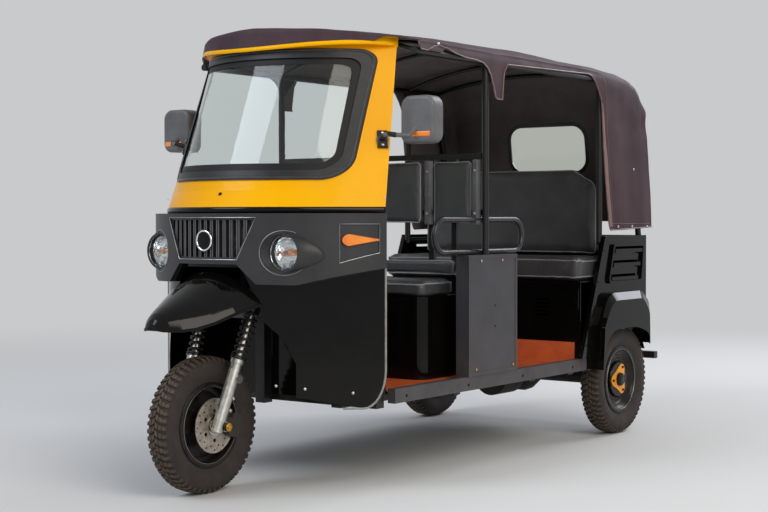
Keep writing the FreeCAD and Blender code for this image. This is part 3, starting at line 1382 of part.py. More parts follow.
def make_rear_panel(side):
    inner_x = s.roof_x + s.roof_tube + s.seat_gap
    axle = Vector(0, axle_y, s.tyre_radius)
    foot = s.sill_top + s.seat_gap
    plate = prism([
        (axle_y - 434, foot), (axle_y - 200, s.panel_top), (panel_rear, s.panel_top), (panel_rear, 440),
        (axle_y + 212, 440), (axle_y + 212, 400), (axle_y - 240, 400), (axle_y - 262, s.leg_low),
        (axle_y - s.sill_ahead, s.leg_low), (axle_y - s.sill_ahead, foot),
    ], "YZ", inner_x, s.panel_out)
    plate = plate.cut(Part.makeCylinder(s.house_radius, 300, axle + Vector(inner_x - 150, 0, 0), Vector(1, 0, 0)))
    field = rounded([
        (axle_y - 110, s.louvre_top + 24), (axle_y + 226, s.louvre_top + 24),
        (axle_y + 200, s.louvre_top - 170), (axle_y - 168, s.louvre_top - 170)], [14, 14, 22, 22],
        "YZ", s.panel_out - 1, s.panel_out + s.louvre_proud)
    sunk = rounded([
        (axle_y - 99, s.louvre_top + 13), (axle_y + 214, s.louvre_top + 13),
        (axle_y + 190, s.louvre_top - 158), (axle_y - 153, s.louvre_top - 158)], [8, 8, 14, 14],
        "YZ", s.panel_out - 2, s.panel_out + s.louvre_proud + 2)
    bars = []
    slots = []
    for i in range(3):
        z = s.louvre_top - s.louvre_pitch * i
        near, far = axle_y - 94 - 20 * i, axle_y + 200 - 24 * i
        bars.append(prism([
            (s.panel_out - 1, z - 26), (s.panel_out + s.louvre_proud, z - 18), (s.panel_out + s.louvre_proud, z),
            (s.panel_out - 1, z)], "XZ", near, far))
        slots.append(prism([
            (near + 2, z + 12), (far - 4, z + 12), (far - 4, z), (near + 2, z)], "YZ",
            inner_x - 5, s.panel_out + 1))
    plate = plate.cut(slots)
    bead = s.panel_bead
    rim = prism([(axle_y - 434, foot), (axle_y - 200, s.panel_top), (axle_y - 200 + bead, s.panel_top),
                 (axle_y - 434 + 1.1 * bead, foot)], "YZ", s.panel_out - 1, s.panel_out + 12)
    fender = fender_block(0, s.panel_out - 2, s.fender_out)
    hollow = fender_block(s.sheet, s.panel_out - 10, s.fender_out - s.sheet)
    fender = fender.cut([hollow, lip_block()])
    below = prism([(axle_y - 440, 200), (axle_y + 360, 200), (axle_y + 360, 440), (axle_y + 202, 440),
                   (axle_y - 230, 400), (axle_y - 262, s.leg_low), (axle_y - 440, s.leg_low)], "YZ",
                  s.panel_out - 20, s.fender_out + 20)
    fender = fender.cut(below)
    house = Part.makeCylinder(s.house_radius + s.sheet, inner_x - s.house_in, axle + Vector(s.house_in, 0, 0),
                              Vector(1, 0, 0)).cut(
        Part.makeCylinder(s.house_radius, inner_x - s.house_in, axle + Vector(s.house_in + s.sheet, 0, 0),
                          Vector(1, 0, 0)))
    house = house.cut(Part.makeBox(400, 1000, 800, Vector(300, axle_y - 500, s.sill_top - 800)))
    shape = fused([plate, rim, fender, house, field.cut(sunk)] + bars)
    over_sill = Part.makeBox(60, 1000, 60, Vector(
        s.sill_x - s.sill_width - s.seat_gap, sill_rear - 1000 + s.seat_gap, s.sill_top - 60 + s.seat_gap))
    shape = shape.cut(over_sill)
    if side < 0:
        shape = mirrored(shape)
    name = "left" if side > 0 else "right"
    keep(solid("rear_panel_shape_" + name, shape), "rear_panel_" + name)


def make_tail():
    y = tail_y
    plate = rounded([(-590, 440), (590, 440), (590, s.panel_top), (-590, s.panel_top)], [20, 20, 20, 20], "XZ",
                    y, y + s.sheet)
    ribs = rounded([(-330, 520), (330, 520), (300, 900), (-300, 900)], [30, 30, 30, 30], "XZ", y + 1, y + 14)
    frame_top = s.floor_top - s.floor_sheet + s.kick_up + s.seat_gap
    flange = Part.makeBox(2 * s.rail_x + s.rail_width, s.frame_tail - s.tail_behind + s.sheet, 30,
                          Vector(-s.rail_x - s.rail_width / 2, y, frame_top))
    notch = Part.makeBox(2 * s.rail_x + s.rail_width + 2, 40, frame_top - 400,
                         Vector(-s.rail_x - s.rail_width / 2 - 1, y - 10, 400))
    shape = fused([plate, ribs, flange]).cut(notch)
    for x in (-s.plate_spacing / 2, s.plate_spacing / 2):
        shape = shape.cut(Part.makeCylinder(s.plate_hole, 60, Vector(x, y - 20, s.plate_z), Vector(0, 1, 0)))
    keep(solid("tail_shape", shape), "tail_panel")
    lamp = rounded([(420, 690), (560, 690), (560, 850), (420, 850)], [16, 16, 16, 16], "XZ",
                   y + s.sheet + s.seat_gap, y + s.sheet + 34)
    keep(solid("tail_lamp_shape", pair(lamp)), "tail_lamps")
    bar = rounded([(bumper_y - 20 + s.seat_gap, s.bumper_z - 18), (bumper_y + 18, s.bumper_z - 18),
                   (bumper_y + 18, s.bumper_z + 18), (bumper_y - 20 + s.seat_gap, s.bumper_z + 18)],
                  [6, 6, 6, 6], "YZ", -600, 600)
    keep(solid("bumper_shape", bar), "bumper")


# Rear axle, drive unit, springs

def make_rear_axle():
    y, z = axle_y, s.tyre_radius
    end = "rear_track / 2 + rear_hub_half - 10"
    inner = "rear_track / 2 - rear_hub_half - 6"
    half_outline = [
        (end, "0"),
        (end, "rear_shaft_radius"),
        (inner, "rear_shaft_radius"),
        (inner, "drum_radius"),
        (inner + " - drum_width", "drum_radius"),
        (inner + " - drum_width", "axle_tube_radius"),
        ("case_foot", "axle_tube_radius"),
        ("(case_foot + case_half) / 2 - 10", "case_radius - 12"),
        ("case_half", "case_radius"),
    ]
    outline = half_outline + [("-(%s)" % across, radius) for across, radius in reversed(half_outline)]
    casing = turned("axle_casing", outline, ("0", "front_axle_y + wheelbase", "tyre_radius"))
    seats = []
    for name, side in (("left", ""), ("right", "-")):
        low, high = ("rail_x - 28", "rail_x + 28") if not side else ("-rail_x - 28", "28 - rail_x")
        seats.append(box("spring_seat_" + name, (low, high),
                         ("front_axle_y + wheelbase - 55", "front_axle_y + wheelbase + 55"),
                         ("tyre_radius + 20", "tyre_radius + spring_seat")))
    keep(boolean("MultiFuse", "axle_with_seats", casing, *seats), "rear_axle")
    shell = s.case_radius + s.seat_gap
    motor = rod(Vector(0, y - shell - 190, z), Vector(0, y - shell - 8, z), 95)
    neck = rod(Vector(0, y - shell - 12, z), Vector(0, y - 60, z), s.case_half - 4)
    neck = neck.cut(rod(Vector(-200, y, z), Vector(200, y, z), shell))
    keep(solid("motor_shape", fused([motor, neck])), "drive_unit")
    seat_top = z + s.spring_seat
    front, rear = y - s.spring_reach, y + s.spring_reach
    springs = []
    for side in (1, -1):
        x = side * s.rail_x
        under, over = s.spring_eye_z, s.spring_eye_z + s.leaf_thick
        low = Part.Arc(Vector(x, front, under), Vector(x, y, seat_top + s.seat_gap), Vector(x, rear, under))
        high = Part.Arc(Vector(x, front, over), Vector(x, y, seat_top + 26), Vector(x, rear, over))
        face = Part.Face(Part.Wire([
            low.toShape(), Part.LineSegment(Vector(x, rear, under), Vector(x, rear, over)).toShape(),
            high.toShape(), Part.LineSegment(Vector(x, front, over), Vector(x, front, under)).toShape()]))
        leaf = face.extrude(Vector(s.leaf_width, 0, 0))
        leaf.translate(Vector(-s.leaf_width / 2, 0, 0))
        springs.append(leaf)
    keep(solid("leaf_shape", Part.makeCompound(springs)), "leaf_springs")


make_wheels()
make_steering()
make_chassis()
make_floor()
make_nose()
make_beak()
make_fascia()
make_screen()
make_toe_board()
make_mirrors()
make_roof_frame()
make_canopy()
make_pillars()
make_driver_seat()
make_partition()
make_bench()
make_rear_panel(1)
make_rear_panel(-1)
make_tail()
make_rear_axle()
doc.recompute()

broken = [obj.Label for obj in doc.Objects if {"Invalid", "Error"} & set(obj.State)]
for obj in parts:
    if obj.Shape.isNull() or not obj.Shape.isValid() or not obj.Shape.Solids:
        broken.append(obj.Label)
if broken:
    raise RuntimeError("failed: " + ", ".join(sorted(set(broken))))

os.makedirs("parts", exist_ok=True)
for obj in parts:
    obj.Shape.exportStep("parts/%s.step" % obj.Label)
    print("%-22s %2d solids %9.1f cm3" % (obj.Label, len(obj.Shape.Solids), obj.Shape.Volume / 1000))
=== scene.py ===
import math

import bmesh
import bpy
import numpy as np
from mathutils import Matrix, Vector, noise


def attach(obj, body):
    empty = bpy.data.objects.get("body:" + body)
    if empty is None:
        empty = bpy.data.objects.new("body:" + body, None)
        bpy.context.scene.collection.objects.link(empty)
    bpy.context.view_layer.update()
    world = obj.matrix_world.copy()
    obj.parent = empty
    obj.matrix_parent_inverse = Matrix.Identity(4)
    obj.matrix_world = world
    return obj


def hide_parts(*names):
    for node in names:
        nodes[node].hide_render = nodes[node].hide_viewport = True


# Auto rickshaw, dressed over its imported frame. Metres; +Z up, the front faces -Y, the vehicle's left is +X.

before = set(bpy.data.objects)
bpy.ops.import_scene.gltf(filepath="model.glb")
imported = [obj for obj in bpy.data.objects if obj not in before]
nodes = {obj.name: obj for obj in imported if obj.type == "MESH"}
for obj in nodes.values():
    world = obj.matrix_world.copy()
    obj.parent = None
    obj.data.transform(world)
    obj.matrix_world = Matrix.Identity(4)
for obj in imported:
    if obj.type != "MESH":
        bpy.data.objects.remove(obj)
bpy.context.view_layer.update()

MM = 0.001
FRONT_Y, REAR_Y = -1.270, 1.140
AXLE_HEIGHT = 0.270
REAR_TRACK = 1.110
RAKE = math.radians(20.6)
FORK_OFFSET = 0.040
FRONT_AXLE = Vector((0, FRONT_Y, AXLE_HEIGHT))
PIVOT = Vector((0, FRONT_Y + FORK_OFFSET / math.cos(RAKE), AXLE_HEIGHT))
# Wheels: tyre's node, centre, body, and the side that the dish looks to.
WHEELS = (
    ("tyre_front", FRONT_AXLE, "front_wheel", -1),
    ("tyre_rear_left", Vector((REAR_TRACK / 2, REAR_Y, AXLE_HEIGHT)), "rear_wheel_left", 1),
    ("tyre_rear_right", Vector((-REAR_TRACK / 2, REAR_Y, AXLE_HEIGHT)), "rear_wheel_right", -1),
)


# Shader tools


def linear(code):
    """An sRGB hex colour as linear RGBA."""
    parts = [int(code[i:i + 2], 16) / 255 for i in (1, 3, 5)]
    return tuple(c / 12.92 if c <= 0.04045 else ((c + 0.055) / 1.055) ** 2.4 for c in parts) + (1.0,)


def add(tree, kind, settings=None, **inputs):
    """Add a shader node. Inputs are named with _ for a space, or n0, n1 for numbered sockets."""
    item = tree.nodes.new("ShaderNode" + kind)
    for name, value in (settings or {}).items():
        setattr(item, name, value)
    for name, value in inputs.items():
        key = int(name[1:]) if name[0] == "n" and name[1:].isdigit() else name.replace("_", " ")
        if isinstance(value, bpy.types.NodeSocket):
            tree.links.new(value, item.inputs[key])
        else:
            item.inputs[key].default_value = value
    return item


def surface(name, **sockets):
    """A new material with one Principled shader whose plain values are given."""
    made = bpy.data.materials.new(name)
    made.use_nodes = True
    tree = made.node_tree
    shader = tree.nodes["Principled BSDF"]
    for key, value in sockets.items():
        shader.inputs[key.replace("_", " ")].default_value = value
    return made, tree, shader


def place(tree):
    """The point in the vehicle's own frame, in metres."""
    return add(tree, "TexCoord").outputs["Object"]


def grain(tree, size_mm, detail=3.0, rough=0.55, stretch=(1, 1, 1)):
    """Noise whose blobs are about size_mm across."""
    moved = add(tree, "Mapping", n0=place(tree), Scale=stretch)
    field = add(tree, "TexNoise", Vector=moved.outputs[0], Scale=1000 / size_mm, Detail=detail,
                Roughness=rough)
    return field.outputs["Fac"]


def ramp(tree, value, *stops):
    """A colour ramp through (position, colour) stops; a colour is a hex code or a grey level."""
    item = add(tree, "ValToRGB", Fac=value)
    band = item.color_ramp
    while len(band.elements) < len(stops):
        band.elements.new(0.5)
    for element, (position, colour) in zip(band.elements, stops):
        element.position = position
        element.color = linear(colour) if isinstance(colour, str) else (colour, colour, colour, 1)
    return item.outputs["Color"]


def blend(tree, share, first, second, mode="MIX"):
    """Mix two colours by a share."""
    values = {}
    for name, colour in (("n6", first), ("n7", second)):
        values[name] = linear(colour) if isinstance(colour, str) else colour
    return add(tree, "Mix", {"data_type": "RGBA", "blend_type": mode}, n0=share, **values).outputs[2]


def bump(tree, shader, height, depth_mm, strength=1.0, under=None):
    """Raise and sink the surface by a pattern, over another bump where one is given."""
    extra = {"Normal": under} if under else {}
    item = add(tree, "Bump", Height=height, Distance=depth_mm * MM, Strength=strength, **extra)
    tree.links.new(item.outputs[0], shader.inputs["Normal"])
    return item.outputs[0]


def road_dust(tree, shader, clean, dust="#8A7B68", top=0.95, most=0.35):
    """Dust that lies thicker near the road and in soft patches; it dulls the gloss where it lies."""
    height = add(tree, "SeparateXYZ", Vector=place(tree)).outputs[2]
    low = add(tree, "MapRange", Value=height, From_Min=0.25, From_Max=top, To_Min=most, To_Max=most * 0.12)
    patches = ramp(tree, grain(tree, 90, 6, 0.6), (0.35, 0.25), (0.75, 1.0))
    share = add(tree, "Math", {"operation": "MULTIPLY"}, n0=low.outputs[0], n1=patches).outputs[0]
    tree.links.new(blend(tree, share, clean, dust), shader.inputs["Base Color"])
    return share


def dulled(tree, shader, share, clean_rough, dirty_rough):
    """Roughness that rises with the share of dust."""
    item = add(tree, "MapRange", Value=share, From_Min=0.0, From_Max=0.5, To_Min=clean_rough,
               To_Max=dirty_rough)
    tree.links.new(item.outputs[0], shader.inputs["Roughness"])


def round_axle(tree, centre):
    """How far a point lies across from a wheel's centre, and how far out from its axle."""
    moved = add(tree, "Mapping", n0=place(tree), Location=[-c for c in centre])
    parts = add(tree, "SeparateXYZ", Vector=moved.outputs[0])
    flat = add(tree, "CombineXYZ", n1=parts.outputs[1], n2=parts.outputs[2])
    away = add(tree, "VectorMath", {"operation": "LENGTH"}, n0=flat.outputs[0])
    return parts.outputs[0], away.outputs["Value"]


def turned_rings(tree, radius, pitch_mm):
    """Fine rings round the axle, pitch_mm apart."""
    turns = add(tree, "Math", {"operation": "MULTIPLY"}, n0=radius, n1=2 * math.pi / (pitch_mm * MM))
    return add(tree, "Math", {"operation": "SINE"}, n0=turns.outputs[0]).outputs[0]


# Finishes


def sprayed_yellow_enamel():
    """Two-pack enamel sprayed on pressed steel: even, wet-looking, with faint orange peel."""
    made, tree, shader = surface("sprayed_yellow_enamel", Coat_Weight=0.06, Coat_Roughness=0.04, IOR=1.16)
    tone = ramp(tree, grain(tree, 420, 2), (0.35, "#F2A900"), (0.7, "#F9B700"))
    share = road_dust(tree, shader, tone, "#A88440", 1.5, 0.05)
    dulled(tree, shader, share, 0.30, 0.55)
    bump(tree, shader, grain(tree, 9, 2), 0.05, 0.5)
    return made


def gloss_black_enamel(name="gloss_black_enamel", most=0.05, rough=0.08):
    """Black enamel on thin pressed sheet: deep gloss, slight ripple from the pressing, a film of dust."""
    made, tree, shader = surface(name, IOR=1.30)
    tone = ramp(tree, grain(tree, 300, 3), (0.3, "#030303"), (0.7, "#080808"))
    share = road_dust(tree, shader, tone, "#5A5046", 1.0, most)
    dulled(tree, shader, share, rough, 0.5)
    bump(tree, shader, grain(tree, 160, 1), 0.9, 0.35)
    return made


def satin_tube_paint(name="satin_black_tube_paint", low="#0F0F0F", high="#191919", rough=0.34, dirt=0.14):
    """Brushed-on black paint over welded tube: half gloss with small worn and dusty patches."""
    made, tree, shader = surface(name, IOR=1.42)
    tone = ramp(tree, grain(tree, 60, 4), (0.35, low), (0.75, high))
    share = road_dust(tree, shader, tone, "#5E554B", 0.9, dirt)
    dulled(tree, shader, share, rough, 0.7)
    bump(tree, shader, grain(tree, 4, 2), 0.06, 0.5)
    return made


def charcoal_sheet_paint():
    """Grey-black paint on folded sheet steel: dull gloss, fine runs, scuffs near the sill."""
    made, tree, shader = surface("charcoal_sheet_paint", IOR=1.45)
    tone = ramp(tree, grain(tree, 140, 5), (0.3, "#2F2E33"), (0.7, "#3B3A40"))
    share = road_dust(tree, shader, tone, "#7D746A", 0.70, 0.34)
    dulled(tree, shader, share, 0.42, 0.72)
    bump(tree, shader, grain(tree, 5, 2), 0.05, 0.5)
    return made


def grained_abs(name, low, high, size_mm=1.6, rough=0.52):
    """Injection-moulded ABS with a spark-eroded grain, drawn at twice its real size so that it shows."""
    made, tree, shader = surface(name, IOR=1.42)
    tone = ramp(tree, grain(tree, 120, 4), (0.3, low), (0.7, high))
    share = road_dust(tree, shader, tone, "#6E665B", 1.0, 0.04)
    dulled(tree, shader, share, rough, 0.75)
    bump(tree, shader, grain(tree, size_mm, 2), 0.12, 0.7)
    return made


def clear_sheet(name, tint, rough=0.0, ior=1.45):
    """Clear pane. Shadow rays pass, so that the cab behind it is lit as it is in daylight."""
    made, tree, shader = surface(
        name, Base_Color=linear(tint), Transmission_Weight=1.0, Roughness=rough, IOR=ior)
    output = tree.nodes["Material Output"]
    through = add(tree, "BsdfTransparent", Color=linear(tint))
    lamp = add(tree, "LightPath").outputs["Is Shadow Ray"]
    both = add(tree, "MixShader", Fac=lamp, n1=shader.outputs[0], n2=through.outputs[0])
    tree.links.new(both.outputs[0], output.inputs["Surface"])
    return made


def tinted_lens(name, colour, deep):
    """Moulded acrylic lens over a dark cavity: clear colour with a wet face and prisms 3.8 mm apart."""
    made, tree, shader = surface(name, IOR=1.49, Coat_Weight=1.0, Coat_Roughness=0.03, Roughness=0.25)
    tree.links.new(ramp(tree, grain(tree, 70, 1), (0.2, deep), (0.8, colour)), shader.inputs["Base Color"])
    ribs = add(tree, "TexWave", {"bands_direction": "X"}, Vector=place(tree), Scale=1 / (6 * MM) / 2)
    bump(tree, shader, ribs.outputs["Fac"], 0.5, 0.5)
    return made


def bright_metal(name, colour, rough, size_mm=3, depth=0.03, coat=0.0):
    """Plated or cast metal: full metallic, broken only by small marks in the finish."""
    made, tree, shader = surface(name, Metallic=1.0, Coat_Weight=coat)
    tone = ramp(tree, grain(tree, 25, 4), (0.3, colour[0]), (0.7, colour[1]))
    tree.links.new(tone, shader.inputs["Base Color"])
    worn = add(tree, "MapRange", Value=grain(tree, 18, 4), To_Min=rough * 0.7, To_Max=rough * 1.4)
    tree.links.new(worn.outputs[0], shader.inputs["Roughness"])
    bump(tree, shader, grain(tree, size_mm, 2), depth, 0.6)
    return made


def cured_rubber(name, low, high, rough=0.6, most=0.2):
    """Extruded or moulded rubber: soft sheen, bloom in patches."""
    made, tree, shader = surface(name, IOR=1.35)
    tone = ramp(tree, grain(tree, 40, 4), (0.3, low), (0.7, high))
    share = road_dust(tree, shader, tone, "#7E7468", 0.9, most)
    dulled(tree, shader, share, rough, 0.85)
    bump(tree, shader, grain(tree, 2.5, 2), 0.08, 0.6)
    return made


def tyre_rubber(centre, name):
    """Tyre tread and wall: carbon black browned by road dust, darker on the wall, with fine wall ribs and
    painted shade in the grooves between the lugs.
    """
    made, tree, shader = surface(name, IOR=1.5, Roughness=0.86)
    across, radius = round_axle(tree, centre)
    on_tread = ramp(tree, add(tree, "MapRange", Value=radius, From_Min=0.245, From_Max=0.268).outputs[0],
                    (0.0, 0.0), (1.0, 1.0))
    patches = ramp(tree, grain(tree, 24, 5, 0.65), (0.3, 0.35), (0.7, 1.0))
    wall = ramp(tree, grain(tree, 60, 4), (0.3, "#2A2421"), (0.7, "#3A322E"))
    tread = ramp(tree, grain(tree, 12, 4), (0.3, "#453A30"), (0.7, "#685848"))
    share = add(tree, "Math", {"operation": "MULTIPLY"}, n0=on_tread, n1=patches).outputs[0]
    worn = blend(tree, share, wall, tread)
    # depth below the lugs' tops, which follow the crown of the tread; the grooves below them get near-black
    # painted shade
    square = add(tree, "Math", {"operation": "MULTIPLY"}, n0=across, n1=across).outputs[0]
    bow = add(tree, "Math", {"operation": "MULTIPLY_ADD"}, n0=square, n1=2.6, n2=radius).outputs[0]
    size = add(tree, "Math", {"operation": "ABSOLUTE"}, n0=across).outputs[0]
    over = add(tree, "Math", {"operation": "SUBTRACT"}, n0=size, n1=0.030).outputs[0]
    over = add(tree, "Math", {"operation": "MAXIMUM"}, n0=over, n1=0.0).outputs[0]
    over = add(tree, "Math", {"operation": "POWER"}, n0=over, n1=3.0).outputs[0]
    level = add(tree, "Math", {"operation": "MULTIPLY_ADD"}, n0=over, n1=900, n2=bow).outputs[0]
    gap = add(tree, "MapRange", Value=level, From_Min=0.2652, From_Max=0.2688, To_Min=0.85,
              To_Max=0.0).outputs[0]
    gap = add(tree, "Math", {"operation": "MULTIPLY"}, n0=gap, n1=on_tread).outputs[0]
    # painted shade: the grooves between the lugs turn near-black
    tree.links.new(blend(tree, gap, worn, "#0E0B09"), shader.inputs["Base Color"])
    under = bump(tree, shader, turned_rings(tree, radius, 9), 0.12, 0.4)
    bump(tree, shader, grain(tree, 3, 3), 0.25, 0.6, under)
    return made


def seat_vinyl(name="embossed_black_vinyl", low="#373738", high="#474748"):
    """PVC leathercloth: embossed hide grain of about 2 mm, drawn a little coarser, with a damp sheen."""
    made, tree, shader = surface(name, IOR=1.44)
    tone = ramp(tree, grain(tree, 130, 4), (0.3, low), (0.7, high))
    tree.links.new(tone, shader.inputs["Base Color"])
    cells = add(tree, "TexVoronoi", {"feature": "SMOOTH_F1"}, Vector=place(tree), Scale=1 / (3.0 * MM))
    worn = add(tree, "MapRange", Value=grain(tree, 70, 4), To_Min=0.30, To_Max=0.46)
    tree.links.new(worn.outputs[0], shader.inputs["Roughness"])
    under = bump(tree, shader, cells.outputs["Distance"], 0.18, 0.45)
    bump(tree, shader, grain(tree, 120, 2), 4.0, 0.35, under)
    return made


def coated_canvas():
    """PVC-coated canvas: mauve-brown with paler rubbed streaks. Its weave is finer than 1 mm and is drawn
    4.7 mm apart, so that it shows."""
    made, tree, shader = surface("coated_canvas", IOR=1.2)
    outer = ramp(tree, grain(tree, 260, 5), (0.25, "#3D3036"), (0.75, "#4F3F45"))
    streak = ramp(tree, grain(tree, 60, 5, 0.6, (1, 1, 0.25)), (0.45, 0.0), (0.75, 0.18))
    outer = blend(tree, streak, outer, "#68575A")
    tree.links.new(outer, shader.inputs["Base Color"])
    rough = add(tree, "MapRange", Value=grain(tree, 110, 3), To_Min=0.50, To_Max=0.66)
    tree.links.new(rough.outputs[0], shader.inputs["Roughness"])
    threads = [
        add(tree, "TexWave", {"bands_direction": axis}, Vector=place(tree), Scale=1 / (2.4 * MM) / 6.283,
            Distortion=0.6).outputs["Fac"] for axis in "YZ"]
    weave = add(tree, "Math", {"operation": "ADD"}, n0=threads[0], n1=threads[1]).outputs[0]
    under = bump(tree, shader, weave, 0.15, 0.35)
    bump(tree, shader, grain(tree, 180, 3), 5.0, 0.25, under)
    return made


def orange_mat_rubber():
    """Coloured ribbed matting: dull rubber with trodden dirt in patches and ribs 24 mm apart."""
    made, tree, shader = surface("orange_matting", IOR=1.5)
    tone = ramp(tree, grain(tree, 110, 5), (0.25, "#B4481C"), (0.75, "#D9662C"))
    dirt = ramp(tree, grain(tree, 35, 6, 0.7), (0.55, 0.0), (0.8, 0.35))
    tree.links.new(blend(tree, dirt, tone, "#6E4A34"), shader.inputs["Base Color"])
    shader.inputs["Roughness"].default_value = 0.55
    ribs = add(tree, "TexWave", {"bands_direction": "X"}, Vector=place(tree), Scale=1 / (12 * MM) / 6.283)
    bump(tree, shader, ribs.outputs["Fac"], 0.6, 0.6)
    return made


def turned_disc():
    """Brake disc: turned steel with concentric marks, browned by heat and rust dust."""
    made, tree, shader = surface("turned_brake_steel", Metallic=0.85)
    radius = round_axle(tree, FRONT_AXLE)[1]
    tone = ramp(tree, grain(tree, 22, 5), (0.3, "#948778"), (0.7, "#C6BEB4"))
    tree.links.new(tone, shader.inputs["Base Color"])
    shader.inputs["Roughness"].default_value = 0.42
    bump(tree, shader, turned_rings(tree, radius, 2.4), 0.06, 0.6)
    return made


YELLOW = sprayed_yellow_enamel()
BLACK = gloss_black_enamel()
WHEEL = gloss_black_enamel("stoved_wheel_enamel", 0.30, 0.14)
TUBE = satin_tube_paint()
POST = satin_tube_paint("charcoal_rail_paint", "#252529", "#34343A", 0.22)
SHEET = charcoal_sheet_paint()
MOULDING = grained_abs("grained_charcoal_abs", "#29292B", "#333335", 1.6, 0.44)
PLASTIC = grained_abs("moulded_black_plastic", "#0E0E0F", "#171718", 1.2, 0.42)
MIRROR_SHELL = grained_abs("grey_mirror_plastic", "#565759", "#6A6B6D", 1.2, 0.42)
GLASS = clear_sheet("laminated_glass", "#E4EEEC", 0.0, 1.32)
LAMP_GLASS = clear_sheet("lamp_glass", "#F4F7F8")
FILM = clear_sheet("clear_vinyl_film", "#D9DDD2", 0.12, 1.3)
AMBER = tinted_lens("amber_acrylic", "#FF9A28", "#E56A0C")
RED = tinted_lens("red_acrylic", "#B3140F", "#6E0806")
SEAL = cured_rubber("windscreen_rubber", "#1C1D1F", "#26272A", 0.42, 0.04)
GAITER = cured_rubber("gaiter_rubber", "#0E0E0F", "#1B1B1D", 0.25, 0.1)
VINYL = seat_vinyl()
PIPING = seat_vinyl("piping_vinyl", "#727274", "#8C8C8E")
CANVAS = coated_canvas()
LINING = grained_abs("canopy_lining", "#5C5552", "#6D6561", 2.4, 0.8)
MAT = orange_mat_rubber()
FORK = bright_metal("silver_cast_fork", ("#A9A7A1", "#C9C7C1"), 0.34)
DISC = turned_disc()
CHROME = bright_metal("plated_reflector", ("#E4E6E8", "#F4F5F6"), 0.05)
ZINC = bright_metal("zinc_plated_steel", ("#B9B6AC", "#D8D5CC"), 0.28)
GOLD_ZINC = bright_metal("yellow_passivated_zinc", ("#B98D3A", "#E0B65C"), 0.3)
CAST = satin_tube_paint("bare_cast_iron", "#1C1A18", "#2A2622", 0.62, 0.3)
SPRING = satin_tube_paint("spring_steel_paint", "#0C0C0C", "#171616", 0.5, 0.2)
MIRROR = bright_metal("silvered_glass", ("#DADDE0", "#E6E9EB"), 0.02, 40, 0.0)
GOLD = grained_abs("orange_yellow_hub_paint", "#E8920F", "#FBA920", 3, 0.35)
SILVERED = bright_metal("aluminised_reflector", ("#F4F6F8", "#FFFFFF"), 0.16)
# Bright metal for thin lines laid on edges as painted highlights: round the grille's opening and the
# indicator fields, round the headlamp bowls and on the wheels' flanges.
EDGE_HIGHLIGHT = bright_metal("painted_highlight_metal", ("#8B8B8C", "#A6A6A6"), 0.32)
BULB = tinted_lens("amber_bulb_glass", "#F49A35", "#DA7A17")
# Flat black for the border printed on the windscreen, and for the sheet behind the grille's slats, which is
# painted shade.
PRINT_AND_SHADE_BLACK = cured_rubber("black_print_and_painted_shade", "#070707", "#0B0B0B", 0.55, 0.02)
PALE_RUBBER = cured_rubber("pale_edge_rubber", "#83807C", "#9B9894", 0.55, 0.1)
SEAL_BEAD = cured_rubber("seal_bead_rubber", "#303134", "#3E3F43", 0.32, 0.04)
# Grey paint for the lines down the grille slats' edges, which are painted highlights.
SLAT_HIGHLIGHT = satin_tube_paint("painted_slat_highlights", "#6E6E70", "#838385", 0.3, 0.05)
STRIP = satin_tube_paint("grey_strip_paint", "#4E4F52", "#606164", 0.4, 0.1)
BINDING = seat_vinyl("binding_tape", "#5F4A48", "#745C58")
# The rear flap's hem: a real fold, coloured lighter than the canvas as a painted highlight of its gloss.
HEM_HIGHLIGHT = seat_vinyl("canvas_hem_painted_highlight", "#6B5250", "#83645F")
BORDER = seat_vinyl("window_border_vinyl", "#1A1617", "#262021")
CLEAR_LENS = tinted_lens("clear_acrylic_over_silver", "#C9CBCC", "#9C9FA2")

FINISHES = {
    YELLOW: ("windscreen_surround",),
    BLACK: ("nose_shell", "mudguard", "toe_board", "seat_box", "bench_box", "bench_hatch",
            "rear_panel_left", "rear_panel_right", "tail_panel"),
    WHEEL: ("rim_front", "rim_rear_left", "rim_rear_right"),
    TUBE: ("chassis_frame", "floor_pan", "bumper", "partition_frame", "roof_frame"),
    POST: ("grab_loops",),
    SHEET: ("sills", "pillar_boxes"),
    MOULDING: ("lamp_panel", "headlamps", "grille"),
    PLASTIC: ("handlebar", "dash_shelf"),
    MIRROR_SHELL: ("mirrors",),
    GLASS: ("windscreen_glass",),
    LAMP_GLASS: ("headlamp_lenses",),
    FILM: ("rear_window",),
    AMBER: ("indicators",),
    RED: ("tail_lamps",),
    SEAL: ("windscreen_seal",),
    GAITER: ("fork_sleeves",),
    VINYL: ("seat_cushion", "seat_back_pad", "partition_pads", "bench_cushion", "bench_back"),
    CANVAS: ("canopy",),
    MAT: ("floor_mat",),
    FORK: ("fork",),
    DISC: ("brake_disc",),
    CAST: ("brake_caliper", "rear_axle", "drive_unit"),
    SPRING: ("leaf_springs", "front_axle"),
    MIRROR: ("mirror_glass",),
}
for finish, names in FINISHES.items():
    for name in names:
        nodes[name].data.materials.clear()
        nodes[name].data.materials.append(finish)
for tyre, centre, body, side in WHEELS:
    nodes[tyre].data.materials.clear()
    nodes[tyre].data.materials.append(tyre_rubber(centre, tyre + "_rubber"))


# Mesh tools


